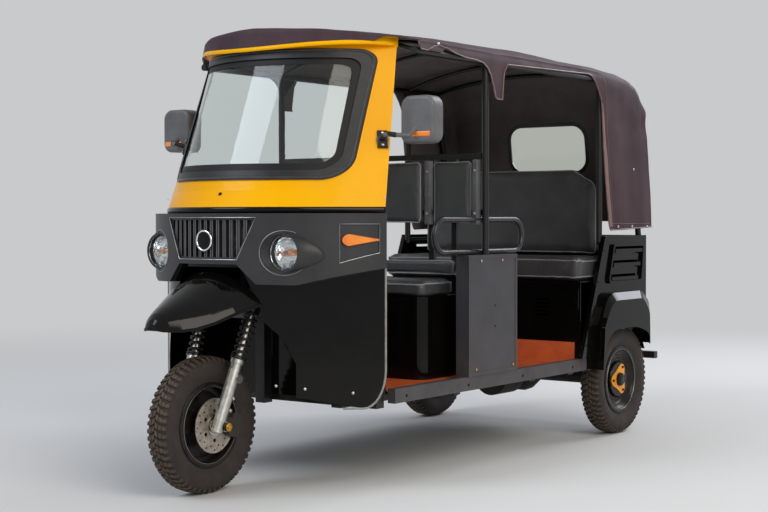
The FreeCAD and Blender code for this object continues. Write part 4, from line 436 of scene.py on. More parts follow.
def piece(name, points, faces, finishes, body, smooth=True, flat_over=40):
    """A mesh piece in the vehicle's frame that rides on a body. Edges sharper than flat_over stay crisp."""
    mesh = bpy.data.meshes.new(name)
    mesh.from_pydata([tuple(p) for p in points], [], [tuple(f) for f in faces])
    shell = bmesh.new()
    shell.from_mesh(mesh)
    bmesh.ops.remove_doubles(shell, verts=shell.verts, dist=1e-6)
    bmesh.ops.recalc_face_normals(shell, faces=shell.faces)
    shell.to_mesh(mesh)
    shell.free()
    made = bpy.data.objects.new(name, mesh)
    bpy.context.scene.collection.objects.link(made)
    for finish in finishes if isinstance(finishes, (list, tuple)) else [finishes]:
        mesh.materials.append(finish)
    if smooth:
        mesh.shade_smooth()
        mesh.set_sharp_from_angle(angle=math.radians(flat_over))
    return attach(made, body)


def settled(made):
    """Apply a piece's modifiers, so that its mesh is what is seen."""
    graph = bpy.context.evaluated_depsgraph_get()
    fresh = bpy.data.meshes.new_from_object(made.evaluated_get(graph))
    made.modifiers.clear()
    made.data = fresh
    return made


def softened(made, width, segments=2, angle=35):
    """Round a piece's crisp edges to a small real radius."""
    step = made.modifiers.new("edges", "BEVEL")
    step.width = width
    step.segments = segments
    step.limit_method = "ANGLE"
    step.angle_limit = math.radians(angle)
    settled(made)
    made.data.shade_smooth()
    made.data.set_sharp_from_angle(angle=math.radians(50))
    return made


def grid_faces(rows, columns, wrap_rows=False, wrap_columns=False):
    """Faces of a grid of points given row by row."""
    faces = []
    for i in range(rows if wrap_rows else rows - 1):
        for j in range(columns if wrap_columns else columns - 1):
            k, m = (i + 1) % rows, (j + 1) % columns
            faces.append((i * columns + j, i * columns + m, k * columns + m, k * columns + j))
    return faces


def spun(profile, centre, axis="X", steps=64, closed=True, flip=1):
    """Points and faces of a (along, radius) profile turned about an axis through a centre."""
    points = []
    for i in range(steps):
        turn = 2 * math.pi * i / steps
        for along, radius in profile:
            a, b = radius * math.cos(turn), radius * math.sin(turn)
            local = {"X": (flip * along, a, b), "Y": (a, flip * along, b), "Z": (a, b, flip * along)}[axis]
            points.append(Vector(centre) + Vector(local))
    return points, grid_faces(steps, len(profile), True, closed)


def tube_mesh(path, radius, sides=10, closed=False):
    """Points and faces of a round bar along a path of points; radius may be a list."""
    path = [Vector(p) for p in path]
    count = len(path)
    points, faces = [], []
    up = None
    for i, here in enumerate(path):
        before = path[i - 1] if i or closed else here
        after = path[(i + 1) % count] if i < count - 1 or closed else here
        ahead = (after - before).normalized()
        if up is None:
            up = ahead.orthogonal().normalized()
        up = (up - ahead * up.dot(ahead)).normalized()
        side = ahead.cross(up)
        size = radius[i] if isinstance(radius, (list, tuple)) else radius
        for j in range(sides):
            turn = 2 * math.pi * j / sides
            points.append(here + up * (size * math.cos(turn)) + side * (size * math.sin(turn)))
    faces = grid_faces(count, sides, closed, True)
    if not closed:
        faces += [tuple(range(sides)), tuple(range((count - 1) * sides, count * sides))]
    return points, faces


# Faces of a block whose eight corners run through the last axis first.
BLOCK_FACES = [(0, 1, 3, 2), (4, 6, 7, 5), (0, 4, 5, 1), (2, 3, 7, 6), (0, 2, 6, 4), (1, 5, 7, 3)]


def block_mesh(low, high):
    (x0, y0, z0), (x1, y1, z1) = low, high
    return [Vector((x, y, z)) for x in (x0, x1) for y in (y0, y1) for z in (z0, z1)], BLOCK_FACES


def joined(parts):
    """Several parts as one list of points and one of faces."""
    points, faces = [], []
    for some_points, some_faces in parts:
        start = len(points)
        points += list(some_points)
        faces += [tuple(i + start for i in face) for face in some_faces]
    return points, faces


def flipped(part):
    """The same points and faces mirrored to the vehicle's other side."""
    points, faces = part
    return [Vector((-p[0], p[1], p[2])) for p in points], [tuple(reversed(face)) for face in faces]


def read_off(table, at):
    """Read a table of (place, value), straight between its rows and level past its ends."""
    if at <= table[0][0]:
        return table[0][1]
    for (a, low), (b, high) in zip(table, table[1:]):
        if at <= b:
            share = (at - a) / (b - a)
            return low + (high - low) * share
    return table[-1][1]


# Canopy

# Side view of the canopy's lower edge, front to rear: y, z. It has a scallop behind the windscreen,
# a pointed drop at the middle post, and the rear flap.
CANOPY_EDGE = (
    (-0.660, 1.762), (-0.579, 1.762), (-0.550, 1.774), (-0.521, 1.786), (-0.485, 1.792), (-0.441, 1.786),
    (-0.381, 1.770), (-0.296, 1.756), (-0.218, 1.754), (-0.155, 1.746), (-0.120, 1.728), (-0.098, 1.700),
    (-0.074, 1.650), (-0.060, 1.608), (-0.048, 1.599), (-0.004, 1.598), (0.000, 1.636), (0.014, 1.716),
    (0.042, 1.754), (0.413, 1.764), (0.790, 1.775), (0.825, 1.768), (0.862, 1.740), (0.895, 1.700),
    (0.921, 1.658), (0.934, 1.560), (0.946, 1.441), (0.969, 1.268), (0.994, 1.140), (1.012, 1.050),
    (1.024, 1.026), (1.034, 1.020), (1.459, 1.034), (1.510, 1.036),
)
# Roof line: y, height at the side edge, height at the crown.
ROOF_LINE = (
    (-0.995, 1.806, 1.850), (-0.270, 1.806, 1.893), (0.330, 1.806, 1.905), (0.930, 1.801, 1.880),
    (1.130, 1.792, 1.858), (1.230, 1.780, 1.836), (1.300, 1.752, 1.800), (1.350, 1.714, 1.752),
    (1.390, 1.664, 1.694), (1.417, 1.606, 1.630), (1.442, 1.450, 1.468), (1.468, 1.270, 1.282),
    (1.495, 1.060, 1.068),
)
# Lower edge of the canvas that is turned down over the visor: distance from the middle, height.
APRON = ((0.0, 1.778), (0.127, 1.781), (0.227, 1.787), (0.314, 1.793), (0.375, 1.797), (0.457, 1.800),
         (0.6, 1.800))
# Rows of that turned down canvas, as shares of the whole drop.
APRON_DROPS = (1.0, 0.8, 0.55, 0.3, 0.12)
# Rows of the rest: from y, to y, spacing. They lie closer where the edge or the sheet bends.
CANOPY_ROWS = ((-0.995, -0.180, 0.020), (-0.180, 0.060, 0.004), (0.060, 0.780, 0.020), (0.780, 1.050, 0.005),
               (1.050, 1.340, 0.011), (1.340, 1.4175, 0.005), (1.4175, 1.4965, 0.0025))
ACROSS = 84
# The share of each half row that goes down the side, and the half width of the roof.
WALL = 0.36
CANOPY_HALF = 0.597
# Plan of the visor: foremost y, radius of the arc, door corner. Behind CURVE_END the rows run straight.
VISOR = (-0.995, 0.536, (0.501, -0.650))
CURVE_END = -0.40
# Creases in the rear flap: y and z where each starts, slope, height and width.
CREASES = ((0.985, 1.735, -0.36, 0.0100, 0.014), (0.990, 1.695, -0.32, -0.0090, 0.018),
           (1.010, 1.640, -0.16, 0.0070, 0.014), (1.060, 1.570, -0.05, -0.0060, 0.020))
# The places, front to rear, where a bow carries the roof.
BOWS = (-0.629, -0.104, 0.420, 0.942, 1.213)


def visor_front(x):
    """Plan of the canopy's front edge: an arc, then a straight run tangent to it."""
    front, radius = VISOR[:2]
    centre_y = front + radius
    x = abs(x)
    bend = radius * math.sin(math.radians(45))
    if x <= bend:
        return centre_y - math.sqrt(radius * radius - x * x)
    return centre_y - math.sqrt(radius * radius - bend * bend) + (x - bend)


def roof_line(y):
    """Heights of the roof's side edge and crown at y."""
    return (read_off([(at, edge) for at, edge, crown in ROOF_LINE], y),
            read_off([(at, crown) for at, edge, crown in ROOF_LINE], y))


def apron_points():
    """The canvas that is turned down over the visor, lowest row first."""
    edge, crown = roof_line(VISOR[0])
    points = []
    for drop in APRON_DROPS:
        for j in range(ACROSS + 1):
            share = 2 * j / ACROSS - 1
            x = CANOPY_HALF * max(-1.0, min(1.0, share / (1 - WALL)))
            size = abs(x)
            z = edge + (crown - edge) * (1 - (x / CANOPY_HALF) ** 2)
            fall = (z - read_off(APRON, size)) * min(1.0, max(0.02, (0.500 - size) / 0.03))
            wave = 0.0012 * math.sin(46 * x + 5 * drop) * drop
            low = (size > CANOPY_HALF - 1e-6) * 0.008 * max(0.0, abs(share) - (1 - WALL)) / WALL
            points.append(Vector((x, visor_front(x) - 0.0085 - wave, z - 0.006 - fall * drop - low)))
    return points


def canopy_sheet():
    """The canvas over its bows: it sags a little between them, ripples, and creases at the rear flap."""
    stations = [y for start, end, step in CANOPY_ROWS for y in np.arange(start, end - 1e-6, step)]
    points = apron_points()
    for y in stations:
        edge, crown = roof_line(y)
        low = min(read_off(CANOPY_EDGE, y), edge - 0.008)
        for j in range(ACROSS + 1):
            share = 2 * j / ACROSS - 1
            side = 1 if share >= 0 else -1
            amount = abs(share)
            if amount > 1 - WALL:
                down = (amount - (1 - WALL)) / WALL
                x, z = CANOPY_HALF, edge - (edge - low) * down ** 1.15
            else:
                x = CANOPY_HALF * amount / (1 - WALL)
                z = edge + (crown - edge) * (1 - (x / CANOPY_HALF) ** 2)
            # the fold between roof and side is a soft bend, not a crease
            near = math.exp(-((x - CANOPY_HALF) ** 2 + (z - edge) ** 2) / 0.030 ** 2)
            x -= 0.010 * near
            z -= 0.010 * near
            run = y
            if y < CURVE_END:
                run = visor_front(min(x, CANOPY_HALF))
                run += (y - VISOR[0]) * (CURVE_END - visor_front(x)) / (CURVE_END - VISOR[0])
            gap = min(abs(run - b) for b in BOWS)
            slack = 0.0035 * (1 - math.exp(-(gap / 0.12) ** 2))
            spot = Vector((side * x, run, z))
            ripple = noise.noise(spot * 5.5) * 0.004 + noise.noise(spot * 14) * 0.0016
            rear = max(0.0, min(1.0, (run - 1.10) / 0.25))
            corner = math.exp(-((x - CANOPY_HALF) ** 2) / 0.10 ** 2) * rear
            corner *= math.exp(-((z - 1.62) / 0.16) ** 2)
            folds = corner * (0.008 * math.sin(34 * (z - 0.6 * run)) * math.exp(-((z - 1.60) / 0.12) ** 2))
            flap = max(0.0, (1.70 - z) / 0.7) if x > 0.55 and run > 0.9 else 0.0
            drape = flap * 0.004 * math.sin(run * 26 + z * 3)
            # pulled creases run from the rear bow's corner down to the flap's rear corner
            for crease_y, crease_z, slope, height, width in CREASES:
                reach = (run - crease_y) / 0.38
                if 0 < reach < 1 and x > 0.5:
                    off = z - (crease_z + slope * (run - crease_y))
                    fade = math.sin(math.pi * reach ** 0.8)
                    folds += height * fade * math.exp(-(off / width) ** 2)
            if x > CANOPY_HALF - 0.012:
                x += ripple * 0.8 + folds + drape
                x = min(x, CANOPY_HALF + 0.006)
            else:
                z += ripple - slack * (1 - (x / CANOPY_HALF) ** 8)
                run += folds if run > 1.3 else 0
            points.append(Vector((side * x, run, z)))
    faces = grid_faces(len(APRON_DROPS) + len(stations), ACROSS + 1)
    made = piece("canopy_canvas", points, faces, [CANVAS, LINING], "root", flat_over=75)
    skin = made.modifiers.new("cloth", "SOLIDIFY")
    skin.thickness = 0.0018
    skin.offset = -1
    skin.material_offset = 1
    window_in_back(made)
    made.data.set_sharp_from_angle(angle=math.radians(60))
    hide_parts("canopy")
    return made


def window_outline(grow=0.0):
    """The rear window's rounded outline as x and z, grown by grow."""
    half, low, high, radius = 0.226 + grow, 1.330 - grow, 1.570 + grow, 0.070 + grow
    outline = []
    for cx, cz, first in ((half - radius, high - radius, 0), (radius - half, high - radius, 90),
                          (radius - half, low + radius, 180), (half - radius, low + radius, 270)):
        for k in range(13):
            turn = math.radians(first + 90 * k / 12)
            outline.append((cx + radius * math.cos(turn), cz + radius * math.sin(turn)))
    return outline


def window_in_back(made):
    """Cut the rear window's rounded opening through the canvas."""
    outline = window_outline()
    count = len(outline)
    points = [(x, y, z) for y in (1.36, 1.56) for x, z in outline]
    faces = grid_faces(2, count, False, True) + [tuple(range(count)), tuple(range(count, 2 * count))]
    mesh = bpy.data.meshes.new("window_outline")
    mesh.from_pydata(points, [], faces)
    tool = bpy.data.objects.new("window_outline", mesh)
    bpy.context.scene.collection.objects.link(tool)
    cut = made.modifiers.new("window", "BOOLEAN")
    cut.operation = "DIFFERENCE"
    cut.object = tool
    cut.solver = "EXACT"
    settled(made)
    bpy.data.objects.remove(tool)


CANVAS_PIECE = canopy_sheet()


# Upholstery


def puffed(made, voxel, cap, pressure=4.0):
    """Blow a pad up a little with cloth pressure, with every point held within cap of its start."""
    step = made.modifiers.new("remesh", "REMESH")
    step.mode = "VOXEL"
    step.voxel_size = voxel
    settled(made)
    made.data.shade_smooth()
    start = np.empty(len(made.data.vertices) * 3)
    made.data.vertices.foreach_get("co", start)
    start = start.reshape(-1, 3)
    cloth = made.modifiers.new("cloth", "CLOTH")
    cloth.settings.use_pressure = True
    cloth.settings.uniform_pressure_force = pressure
    cloth.settings.effector_weights.gravity = 0
    cloth.settings.quality = 4
    cloth.settings.tension_stiffness = 25
    cloth.settings.compression_stiffness = 25
    cloth.collision_settings.use_collision = False
    scene = bpy.context.scene
    for number in range(1, 17):
        scene.frame_set(number)
    graph = bpy.context.evaluated_depsgraph_get()
    moved = np.array([v.co for v in made.evaluated_get(graph).data.vertices])
    scene.frame_set(1)
    made.modifiers.clear()
    push = moved - start
    far = np.linalg.norm(push, axis=1, keepdims=True)
    push *= np.minimum(1.0, cap / np.maximum(far, 1e-9))
    made.data.vertices.foreach_set("co", (start + push).ravel())
    made.data.update()


def pad_ring(low, high, corner, across):
    """A pad's rounded outline, its box's corners in the pad's own axes, and which axes those are."""
    axes = {"XY": (0, 1, 2), "XZ": (0, 2, 1)}[across]
    lo = [low[a] for a in axes]
    hi = [high[a] for a in axes]
    ring, steps = [], 6
    for cx, cy, start in ((hi[0] - corner, hi[1] - corner, 0), (lo[0] + corner, hi[1] - corner, 90),
                          (lo[0] + corner, lo[1] + corner, 180), (hi[0] - corner, lo[1] + corner, 270)):
        for i in range(steps + 1):
            turn = math.radians(start + 90 * i / steps)
            ring.append((cx + corner * math.cos(turn), cy + corner * math.sin(turn)))
    return ring, lo, hi, axes


def upholstered(name, low, high, node, across, corner, inset, cap, voxel, shape=None):
    """A foam pad in a sewn cover, blown up by cloth pressure. The cover's piping is made apart."""
    ring, lo, hi, axes = pad_ring(low, high, corner, across)
    if shape:
        ring = shape
    mid = Vector((sum(p[0] for p in ring) / len(ring), sum(p[1] for p in ring) / len(ring)))
    levels = ((0.0, 0.985), (0.12, 1.0), (0.88, 1.0), (1.0, 0.985))
    points = []
    for share, size in levels:
        level = lo[2] + inset + (hi[2] - lo[2] - 2 * inset) * share
        for a, b in ring:
            spot = [0, 0, 0]
            drawn = 1 - inset / max(0.05, abs(hi[0] - lo[0]) / 2)
            spot[axes[0]] = mid[0] + (a - mid[0]) * drawn * size
            spot[axes[1]] = mid[1] + (b - mid[1]) * (1 - inset / max(0.03, abs(hi[1] - lo[1]) / 2)) * size
            spot[axes[2]] = level
            points.append(spot)
    count = len(ring)
    faces = grid_faces(4, count, False, True) + [tuple(range(count)), tuple(range(3 * count, 4 * count))]
    made = piece(name, points, faces, VINYL, "root")
    puffed(made, voxel, cap)
    hold_in(made, low, high)
    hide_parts(node)
    return made


def hold_in(made, low, high, spare=0.002):
    """Keep a pad inside its own box, so that it lies flat on what is round it."""
    for vertex in made.data.vertices:
        for axis in range(3):
            vertex.co[axis] = min(max(vertex.co[axis], low[axis] - spare), high[axis] + spare)


def on_skin(made, path, lift):
    """Each point of a path moved to the nearest place on a piece's skin, then out by lift."""
    route = []
    for spot in path:
        at, normal = made.closest_point_on_mesh(Vector(spot))[1:3]
        route.append(at + normal * lift)
    return route


def snapped_cord(name, made, path, radius):
    """Piping sewn along a path on a pad's skin, sunk by most of its radius."""
    piece(name, *tube_mesh(on_skin(made, path, radius * 0.3), radius, 8, True), PIPING, "root")


def ring_path(low, high, across, level, corner, step=0.012):
    """A rounded rectangle of closely spaced points at one level of a pad."""
    ring, lo, hi, axes = pad_ring(low, high, corner, across)
    dense = []
    for (a, b), (c, d) in zip(ring, ring[1:] + ring[:1]):
        run = math.hypot(c - a, d - b)
        parts = max(1, int(run / step))
        for i in range(parts):
            share = i / parts
            spot = [0, 0, 0]
            spot[axes[0]], spot[axes[1]], spot[axes[2]] = a + (c - a) * share, b + (d - b) * share, level
            dense.append(spot)
    return dense


def driver_seat():
    low, high = (-0.452, -0.400, 0.7453), (0.452, -0.112, 0.812)
    cushion = upholstered("driver_cushion", low, high, "seat_cushion", "XY", 0.045, 0.008, 0.012, 0.008)
    snapped_cord("driver_cushion_piping", cushion, ring_path(low, high, "XY", 0.808, 0.045), 0.0035)
    low, high = (-0.440, -0.1523, 0.828), (0.440, -0.1163, 0.902)
    rest = upholstered("lumbar_pad", low, high, "seat_back_pad", "XZ", 0.018, 0.005, 0.007, 0.007)
    snapped_cord("lumbar_pad_piping", rest, ring_path(low, high, "XZ", -0.150, 0.018), 0.0025)


def partition_pads():
    for name, x0, x1, thick in (("middle", -0.278, 0.278, 0.046), ("left", 0.318, 0.530, 0.028),
                                ("right", -0.530, -0.318, 0.028)):
        low, high = (x0, -0.1163 - thick, 1.050), (x1, -0.1163, 1.336)
        pad = upholstered("partition_pad_" + name, low, high, "partition_pads", "XZ", 0.014, 0.005, 0.008,
                          0.007)
        front = ring_path(low, high, "XZ", -0.1163 - thick + 0.002, 0.014)
        snapped_cord("partition_piping_" + name, pad, front, 0.003)


def bench():
    low, high = (-0.588, 0.724, 0.7753), (0.588, 1.080, 0.890)
    cushion = upholstered("bench_cushion_cover", low, high, "bench_cushion", "XY", 0.030, 0.008, 0.014, 0.010)
    for level in (0.884, 0.786):
        route = ring_path(low, high, "XY", level, 0.030)
        snapped_cord("bench_piping_%d" % round(level * 1000), cushion, route, 0.0038)
    low, high = (-0.523, 1.022, 0.8903), (0.523, 1.082, 1.335)
    outline = []
    corners = ((-0.523, 0.8903, 0.02), (0.523, 0.8903, 0.02), (0.523, 1.257, 0.06), (0.391, 1.335, 0.06),
               (-0.391, 1.335, 0.06), (-0.523, 1.257, 0.06))
    for i, (x, z, radius) in enumerate(corners):
        before, after = Vector(corners[i - 1][:2]), Vector(corners[(i + 1) % len(corners)][:2])
        here = Vector((x, z))
        back, ahead = (before - here).normalized(), (after - here).normalized()
        half = back.angle(ahead) / 2
        reach = radius / math.tan(half)
        for k in range(7):
            share = k / 6
            first = here + back * reach * (1 - share)
            second = here + ahead * reach * share
            outline.append(tuple(first.lerp(second, share)))
    rest = upholstered("bench_back_cover", low, high, "bench_back", "XZ", 0.03, 0.006, 0.010, 0.010,
                       shape=outline)
    route = [(a, 1.024, b) for a, b in outline]
    dense = []
    for p, q in zip(route, route[1:] + route[:1]):
        run = (Vector(q) - Vector(p)).length
        parts = max(1, int(run / 0.014))
        dense += [Vector(p).lerp(Vector(q), i / parts) for i in range(parts)]
    snapped_cord("bench_back_piping", rest, dense, 0.0032)


driver_seat()
partition_pads()
bench()


# Wheels


def tyre_tread(name, centre, body, finish):
    """Tyre with four staggered middle rows, deep shoulder blocks and fine ribs on the upper wall."""
    profile = [
        (0.034, 0.155), (0.0345, 0.170), (0.0400, 0.180), (0.0470, 0.192), (0.0512, 0.208), (0.0520, 0.223),
        (0.0508, 0.238), (0.0470, 0.250), (0.0400, 0.2575), (0.0280, 0.2625), (0.0140, 0.2640), (0.0, 0.2645),
    ]
    outline = profile + [(-x, r) for x, r in reversed(profile[:-1])]
    inner = [(x * 0.72, max(0.160, r - 0.012)) for x, r in outline]
    parts = [spun(outline + list(reversed(inner)), centre, "X", 120)]

    def crown(x):
        return 0.2702 - 2.6 * x * x - 900 * max(0.0, abs(x) - 0.030) ** 3

    def lug(x0, x1, turn, width, slant, height):
        corners = []
        for x, shift in ((x0, 0.0), (x1, slant)):
            for side in (-0.5, 0.5):
                for radius in (crown(x) - 0.010, crown(x) + height):
                    pinch = 0.86 if radius > crown(x) - 0.005 else 1.0
                    spread = turn + shift + side * width * pinch
                    spot = Vector((x, radius * math.cos(spread), radius * math.sin(spread)))
                    corners.append(Vector(centre) + spot)
        return corners, BLOCK_FACES

    count = 56
    pitch = 2 * math.pi / count
    # rows: inner and outer place, start, width and slant in pitches, height over the crown
    rows = ((0.0015, 0.0150, 0.0, 0.74, 0.30, -0.0004), (0.0185, 0.0330, 0.30, 0.62, 0.16, -0.0004),
            (0.0360, 0.0485, 0.50, 0.56, 0.0, 0.0))
    for i in range(count):
        for side in (1, -1):
            start = i * pitch + (0 if side > 0 else pitch / 2)
            for x0, x1, shift, width, slant, height in rows:
                parts.append(lug(side * x0, side * x1, start + pitch * shift, pitch * width, pitch * slant,
                                 height))
    ribs = 132
    for i in range(ribs):
        turn = 2 * math.pi * i / ribs
        for side in (1, -1):
            corners = []
            for x, radius in ((0.0515, 0.228), (0.0475, 0.2505)):
                for lean in (-0.006, 0.006):
                    for out in (-0.002, 0.0009):
                        spin, reach = turn + lean, radius + out
                        spot = Vector((side * (x + out), reach * math.cos(spin), reach * math.sin(spin)))
                        corners.append(Vector(centre) + spot)
            parts.append((corners, BLOCK_FACES))
    points, faces = joined(parts)
    made = piece(name + "_tread", points, faces, finish, body, flat_over=32)
    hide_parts(name)


for tyre, centre, body, side in WHEELS:
    tyre_tread(tyre, centre, body, nodes[tyre].data.materials[0])


# Fork springs


def steered(across, back, up):
    """A point given in the fork's own frame."""
    turn = Matrix.Rotation(-RAKE, 4, "X")
    return PIVOT + turn @ Vector((across, back, up))


def leg_x(up):
    """How far out a fork leg stands at a height up the fork; the legs spread towards the top."""
    return 0.100 + 0.033 * up / 0.470


def fork_springs():
    """Coil springs with their seats and collars, in place of the ringed sleeves' solids."""
    parts = []
    for side in (1, -1):
        turns, low, high = 7, 0.258, 0.438
        path = []
        for i in range(turns * 20 + 1):
            share = i / (turns * 20)
            up = low + (high - low) * share
            spin = 2 * math.pi * turns * share
            across = side * leg_x(up)
            path.append(steered(across + 0.0265 * math.cos(spin), -0.060 + 0.0265 * math.sin(spin), up))
        parts.append(tube_mesh(path, 0.0052, 8))
        for up, radius, thick in ((0.2505, 0.0325, 0.006), (0.2605, 0.0325, 0.004), (0.441, 0.031, 0.005)):
            ends = [steered(side * leg_x(level), -0.060, level) for level in (up, up + thick)]
            parts.append(tube_mesh(ends, radius, 32))
    points, faces = joined(parts)
    made = piece("fork_coil_springs", points, faces, GAITER, "steering")
    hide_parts("fork_sleeves")


fork_springs()


# Plans of the bowed front panels: foremost y, radius of the arc, door corner.
NOSE = (-1.240, 0.502, (0.589, -0.858))
BAND = (-1.260, 0.640, (0.595, -0.858))
# Plans of the windscreen surround from the seam up: height, foremost y, door corner.
SURROUND = ((1.125, -1.240, (0.589, -0.858)), (1.190, -1.195, (0.580, -0.838)),
            (1.800, -0.961, (0.497, -0.650)))


def plan_y(x, plan, out=0.0):
    """y of a bowed panel at x, moved outward: an arc about the middle with a straight run tangent to it."""
    front, radius, (corner_x, corner_y) = plan
    middle = front + radius
    angle = math.atan2(corner_y - middle, corner_x) - math.acos(
        min(1.0, radius / math.hypot(corner_x, corner_y - middle)))
    touch_x = (radius + out) * math.cos(angle)
    x = abs(x)
    if x <= touch_x:
        return middle - math.sqrt((radius + out) ** 2 - x * x)
    return middle + (radius + out) * math.sin(angle) + (x - touch_x) * math.tan(angle + math.pi / 2)


def surround_y(x, z, out=0.0):
    """y of the raked windscreen surround at x and height z."""
    for (z0, front0, corner0), (z1, front1, corner1) in zip(SURROUND, SURROUND[1:]):
        if z <= z1:
            break
    share = (z - z0) / (z1 - z0)
    corner = tuple(a + (b - a) * share for a, b in zip(corner0, corner1))
    return plan_y(x, (front0 + (front1 - front0) * share, 0.502, corner), out)


def hoop(centre, radius, thick, axis="Y", steps=56, sides=8):
    """Points and faces of a round wire ring."""
    profile = [(thick * math.sin(2 * math.pi * k / sides), radius + thick * math.cos(2 * math.pi * k / sides))
               for k in range(sides)]
    return spun(profile, centre, axis, steps)


def stepped(at, out, radius, proud, sides, rings):
    """Points and faces of a head made of rings: each ring's share of the radius and of the height."""
    at, out = Vector(at), Vector(out).normalized()
    side = out.orthogonal().normalized()
    up = out.cross(side)
    points = []
    for share, lift in rings:
        for k in range(sides):
            turn = 2 * math.pi * k / sides
            away = (side * math.cos(turn) + up * math.sin(turn)) * radius * share
            points.append(at + away + out * proud * lift)
    last = (len(rings) - 1) * sides
    return points, grid_faces(len(rings), sides, False, True) + [tuple(range(last, last + sides))]


def stud(at, out, radius, proud, sides=16):
    """Points and faces of a domed screw head that looks along out."""
    return stepped(at, out, radius, proud, sides, ((1.0, -0.3), (1.0, 0.45), (0.72, 0.88), (0.3, 1.0)))


def nut(at, out, radius, proud):
    """Points and faces of a hexagon nut with its washer."""
    return joined([stud(at, out, radius * 1.45, proud * 0.2, 24), hex_block(at, out, radius, proud)])


def hex_block(at, out, radius, proud):
    """Points and faces of a bolt's six-sided head."""
    return stepped(at, out, radius, proud, 6, ((1.0, 0.0), (1.0, 0.9), (0.86, 1.0)))


def along(corners, step=0.012, closed=False):
    """Closely spaced points along a run of straight lines."""
    corners = [Vector(c) for c in corners]
    ends = list(zip(corners, corners[1:])) + ([(corners[-1], corners[0])] if closed else [])
    route = []
    for a, b in ends:
        parts = max(1, round((b - a).length / step))
        route += [a.lerp(b, k / parts) for k in range(parts)]
    return route if closed else route + [corners[-1]]


def both(part):
    """A part and its mirror image on the vehicle's other side."""
    return joined([part, flipped(part)])


def rounded_box(name, low, high, finish, body, edge, two_sided=False):
    """A small moulded block with rounded edges."""
    part = block_mesh(low, high)
    made = piece(name, *(both(part) if two_sided else part), finish, body)
    return softened(made, edge, 3)


# Lamps and nose trim


LAMP = Vector((0.330, -1.152, 0.947))


def headlamp_optics():
    """Faceted reflector and amber bulb behind each lens, a plated ring round it, and a bright bead round the
    bowl that is a painted highlight.
    """
    facets, bulbs, rings, bead_highlights = [], [], [], []
    rows, sectors = 9, 26
    for side in (1, -1):
        centre = Vector((side * LAMP.x, 0, LAMP.z))
        points, faces = [], []
        for i in range(rows):
            for j in range(sectors):
                lift = ((i * 7 + j * 5) % 4) * 0.0009
                start = len(points)
                for row, column in ((i, j), (i, j + 1), (i + 1, j + 1), (i + 1, j)):
                    share = row / rows
                    radius = 0.0232 + 0.0400 * share
                    turn = 2 * math.pi * (column + 0.5 * (i % 2)) / sectors
                    deep = -1.0900 - 0.0500 * share - (lift if row > i else 0.0)
                    points.append(centre + Vector((radius * math.cos(turn), deep, radius * math.sin(turn))))
                faces.append(tuple(range(start, start + 4)))
        facets.append((points, faces))
        cup = ((-1.0897, 0.0240), (-1.0897, 0.0130), (-1.0960, 0.0125), (-1.0960, 0.0005))
        bulb = ((-1.0955, 0.0098), (-1.1180, 0.0104), (-1.1260, 0.0088), (-1.1300, 0.0050), (-1.1310, 0.0005))
        facets.append(spun(cup, centre, "Y", 32, False))
        bulbs.append(spun(bulb, centre, "Y", 24, False))
        rings.append(hoop(centre + Vector((0, -1.1640, 0)), 0.0702, 0.0026, "Y", 72, 10))
        # a bright bead on the recess edge round the bowl, a painted highlight
        arc = []
        for k in range(44):
            turn = math.radians(62 + 250 * k / 43)
            x = LAMP.x + 0.0862 * math.cos(turn)
            arc.append((side * x, plan_y(x, BAND, 0.0004), LAMP.z + 0.0862 * math.sin(turn)))
        bead_highlights.append(tube_mesh(arc, 0.0016, 8))
    piece("headlamp_reflectors", *joined(facets), SILVERED, "root", smooth=False)
    piece("headlamp_bulbs", *joined(bulbs), BULB, "root")
    piece("headlamp_rings", *joined(rings), CHROME, "root")
    piece("headlamp_bead_highlights", *joined(bead_highlights), EDGE_HIGHLIGHT, "root")


def badge():
    """Bare round badge on the grille: a plated ring round a plain black domed disc."""
    centre = (0, -1.2600, 0.9930)
    piece("badge_ring", *hoop(centre, 0.0385, 0.0044, "Y", 64, 10), CHROME, "root")
    dome = [(0.0080, 0.0380), (-0.0005, 0.0375), (-0.0030, 0.0250), (-0.0040, 0.0100), (-0.0042, 0.0004)]
    piece("badge_disc", *spun(dome, centre, "Y", 48, False), BLACK, "root")


def grille_dressing():
    """A thin bright line round the grille's opening and bright lines down its slats' edges, which are painted
    highlights, and the black sheet seen between its slats, which is painted shade.
    """
    corners = ((-0.152, 0.919), (0.152, 0.919), (0.230, 1.083), (-0.230, 1.083))
    # a bright line round the opening, a painted highlight
    route = [(p.x, plan_y(p.x, BAND, -0.0006), p.y)
             for p in along([(x, z, 0) for x, z in corners], 0.02, True)]
    piece("grille_edge_highlight", *tube_mesh(route, 0.0021, 8, True), EDGE_HIGHLIGHT, "root")
    # bright lines down each slat's edges, painted highlights
    lines = []
    count = 15
    for i in range(count):
        for edge in (-0.0052, 0.0052):
            x = (i + 0.5 - count / 2) * 0.460 / count + edge
            low = 0.924 + max(0.0, abs(x) + 0.008 - 0.152) * 0.164 / 0.078
            if low < 1.060:
                y = plan_y(x, BAND, -0.0080)
                lines.append(tube_mesh([(x, y, low), (x, y, 1.079)], 0.0011, 6))
    piece("slat_highlights", *joined(lines), SLAT_HIGHLIGHT, "root")
    # a black sheet behind the slats, painted shade between them
    points = []
    for k in range(25):
        share = k / 24 * 2 - 1
        for half, z in ((0.147, 0.924), (0.225, 1.078)):
            x = half * share
            points.append((x, plan_y(x, BAND, -0.0192), z))
    piece("grille_painted_shade", points, grid_faces(25, 2), PRINT_AND_SHADE_BLACK, "root")


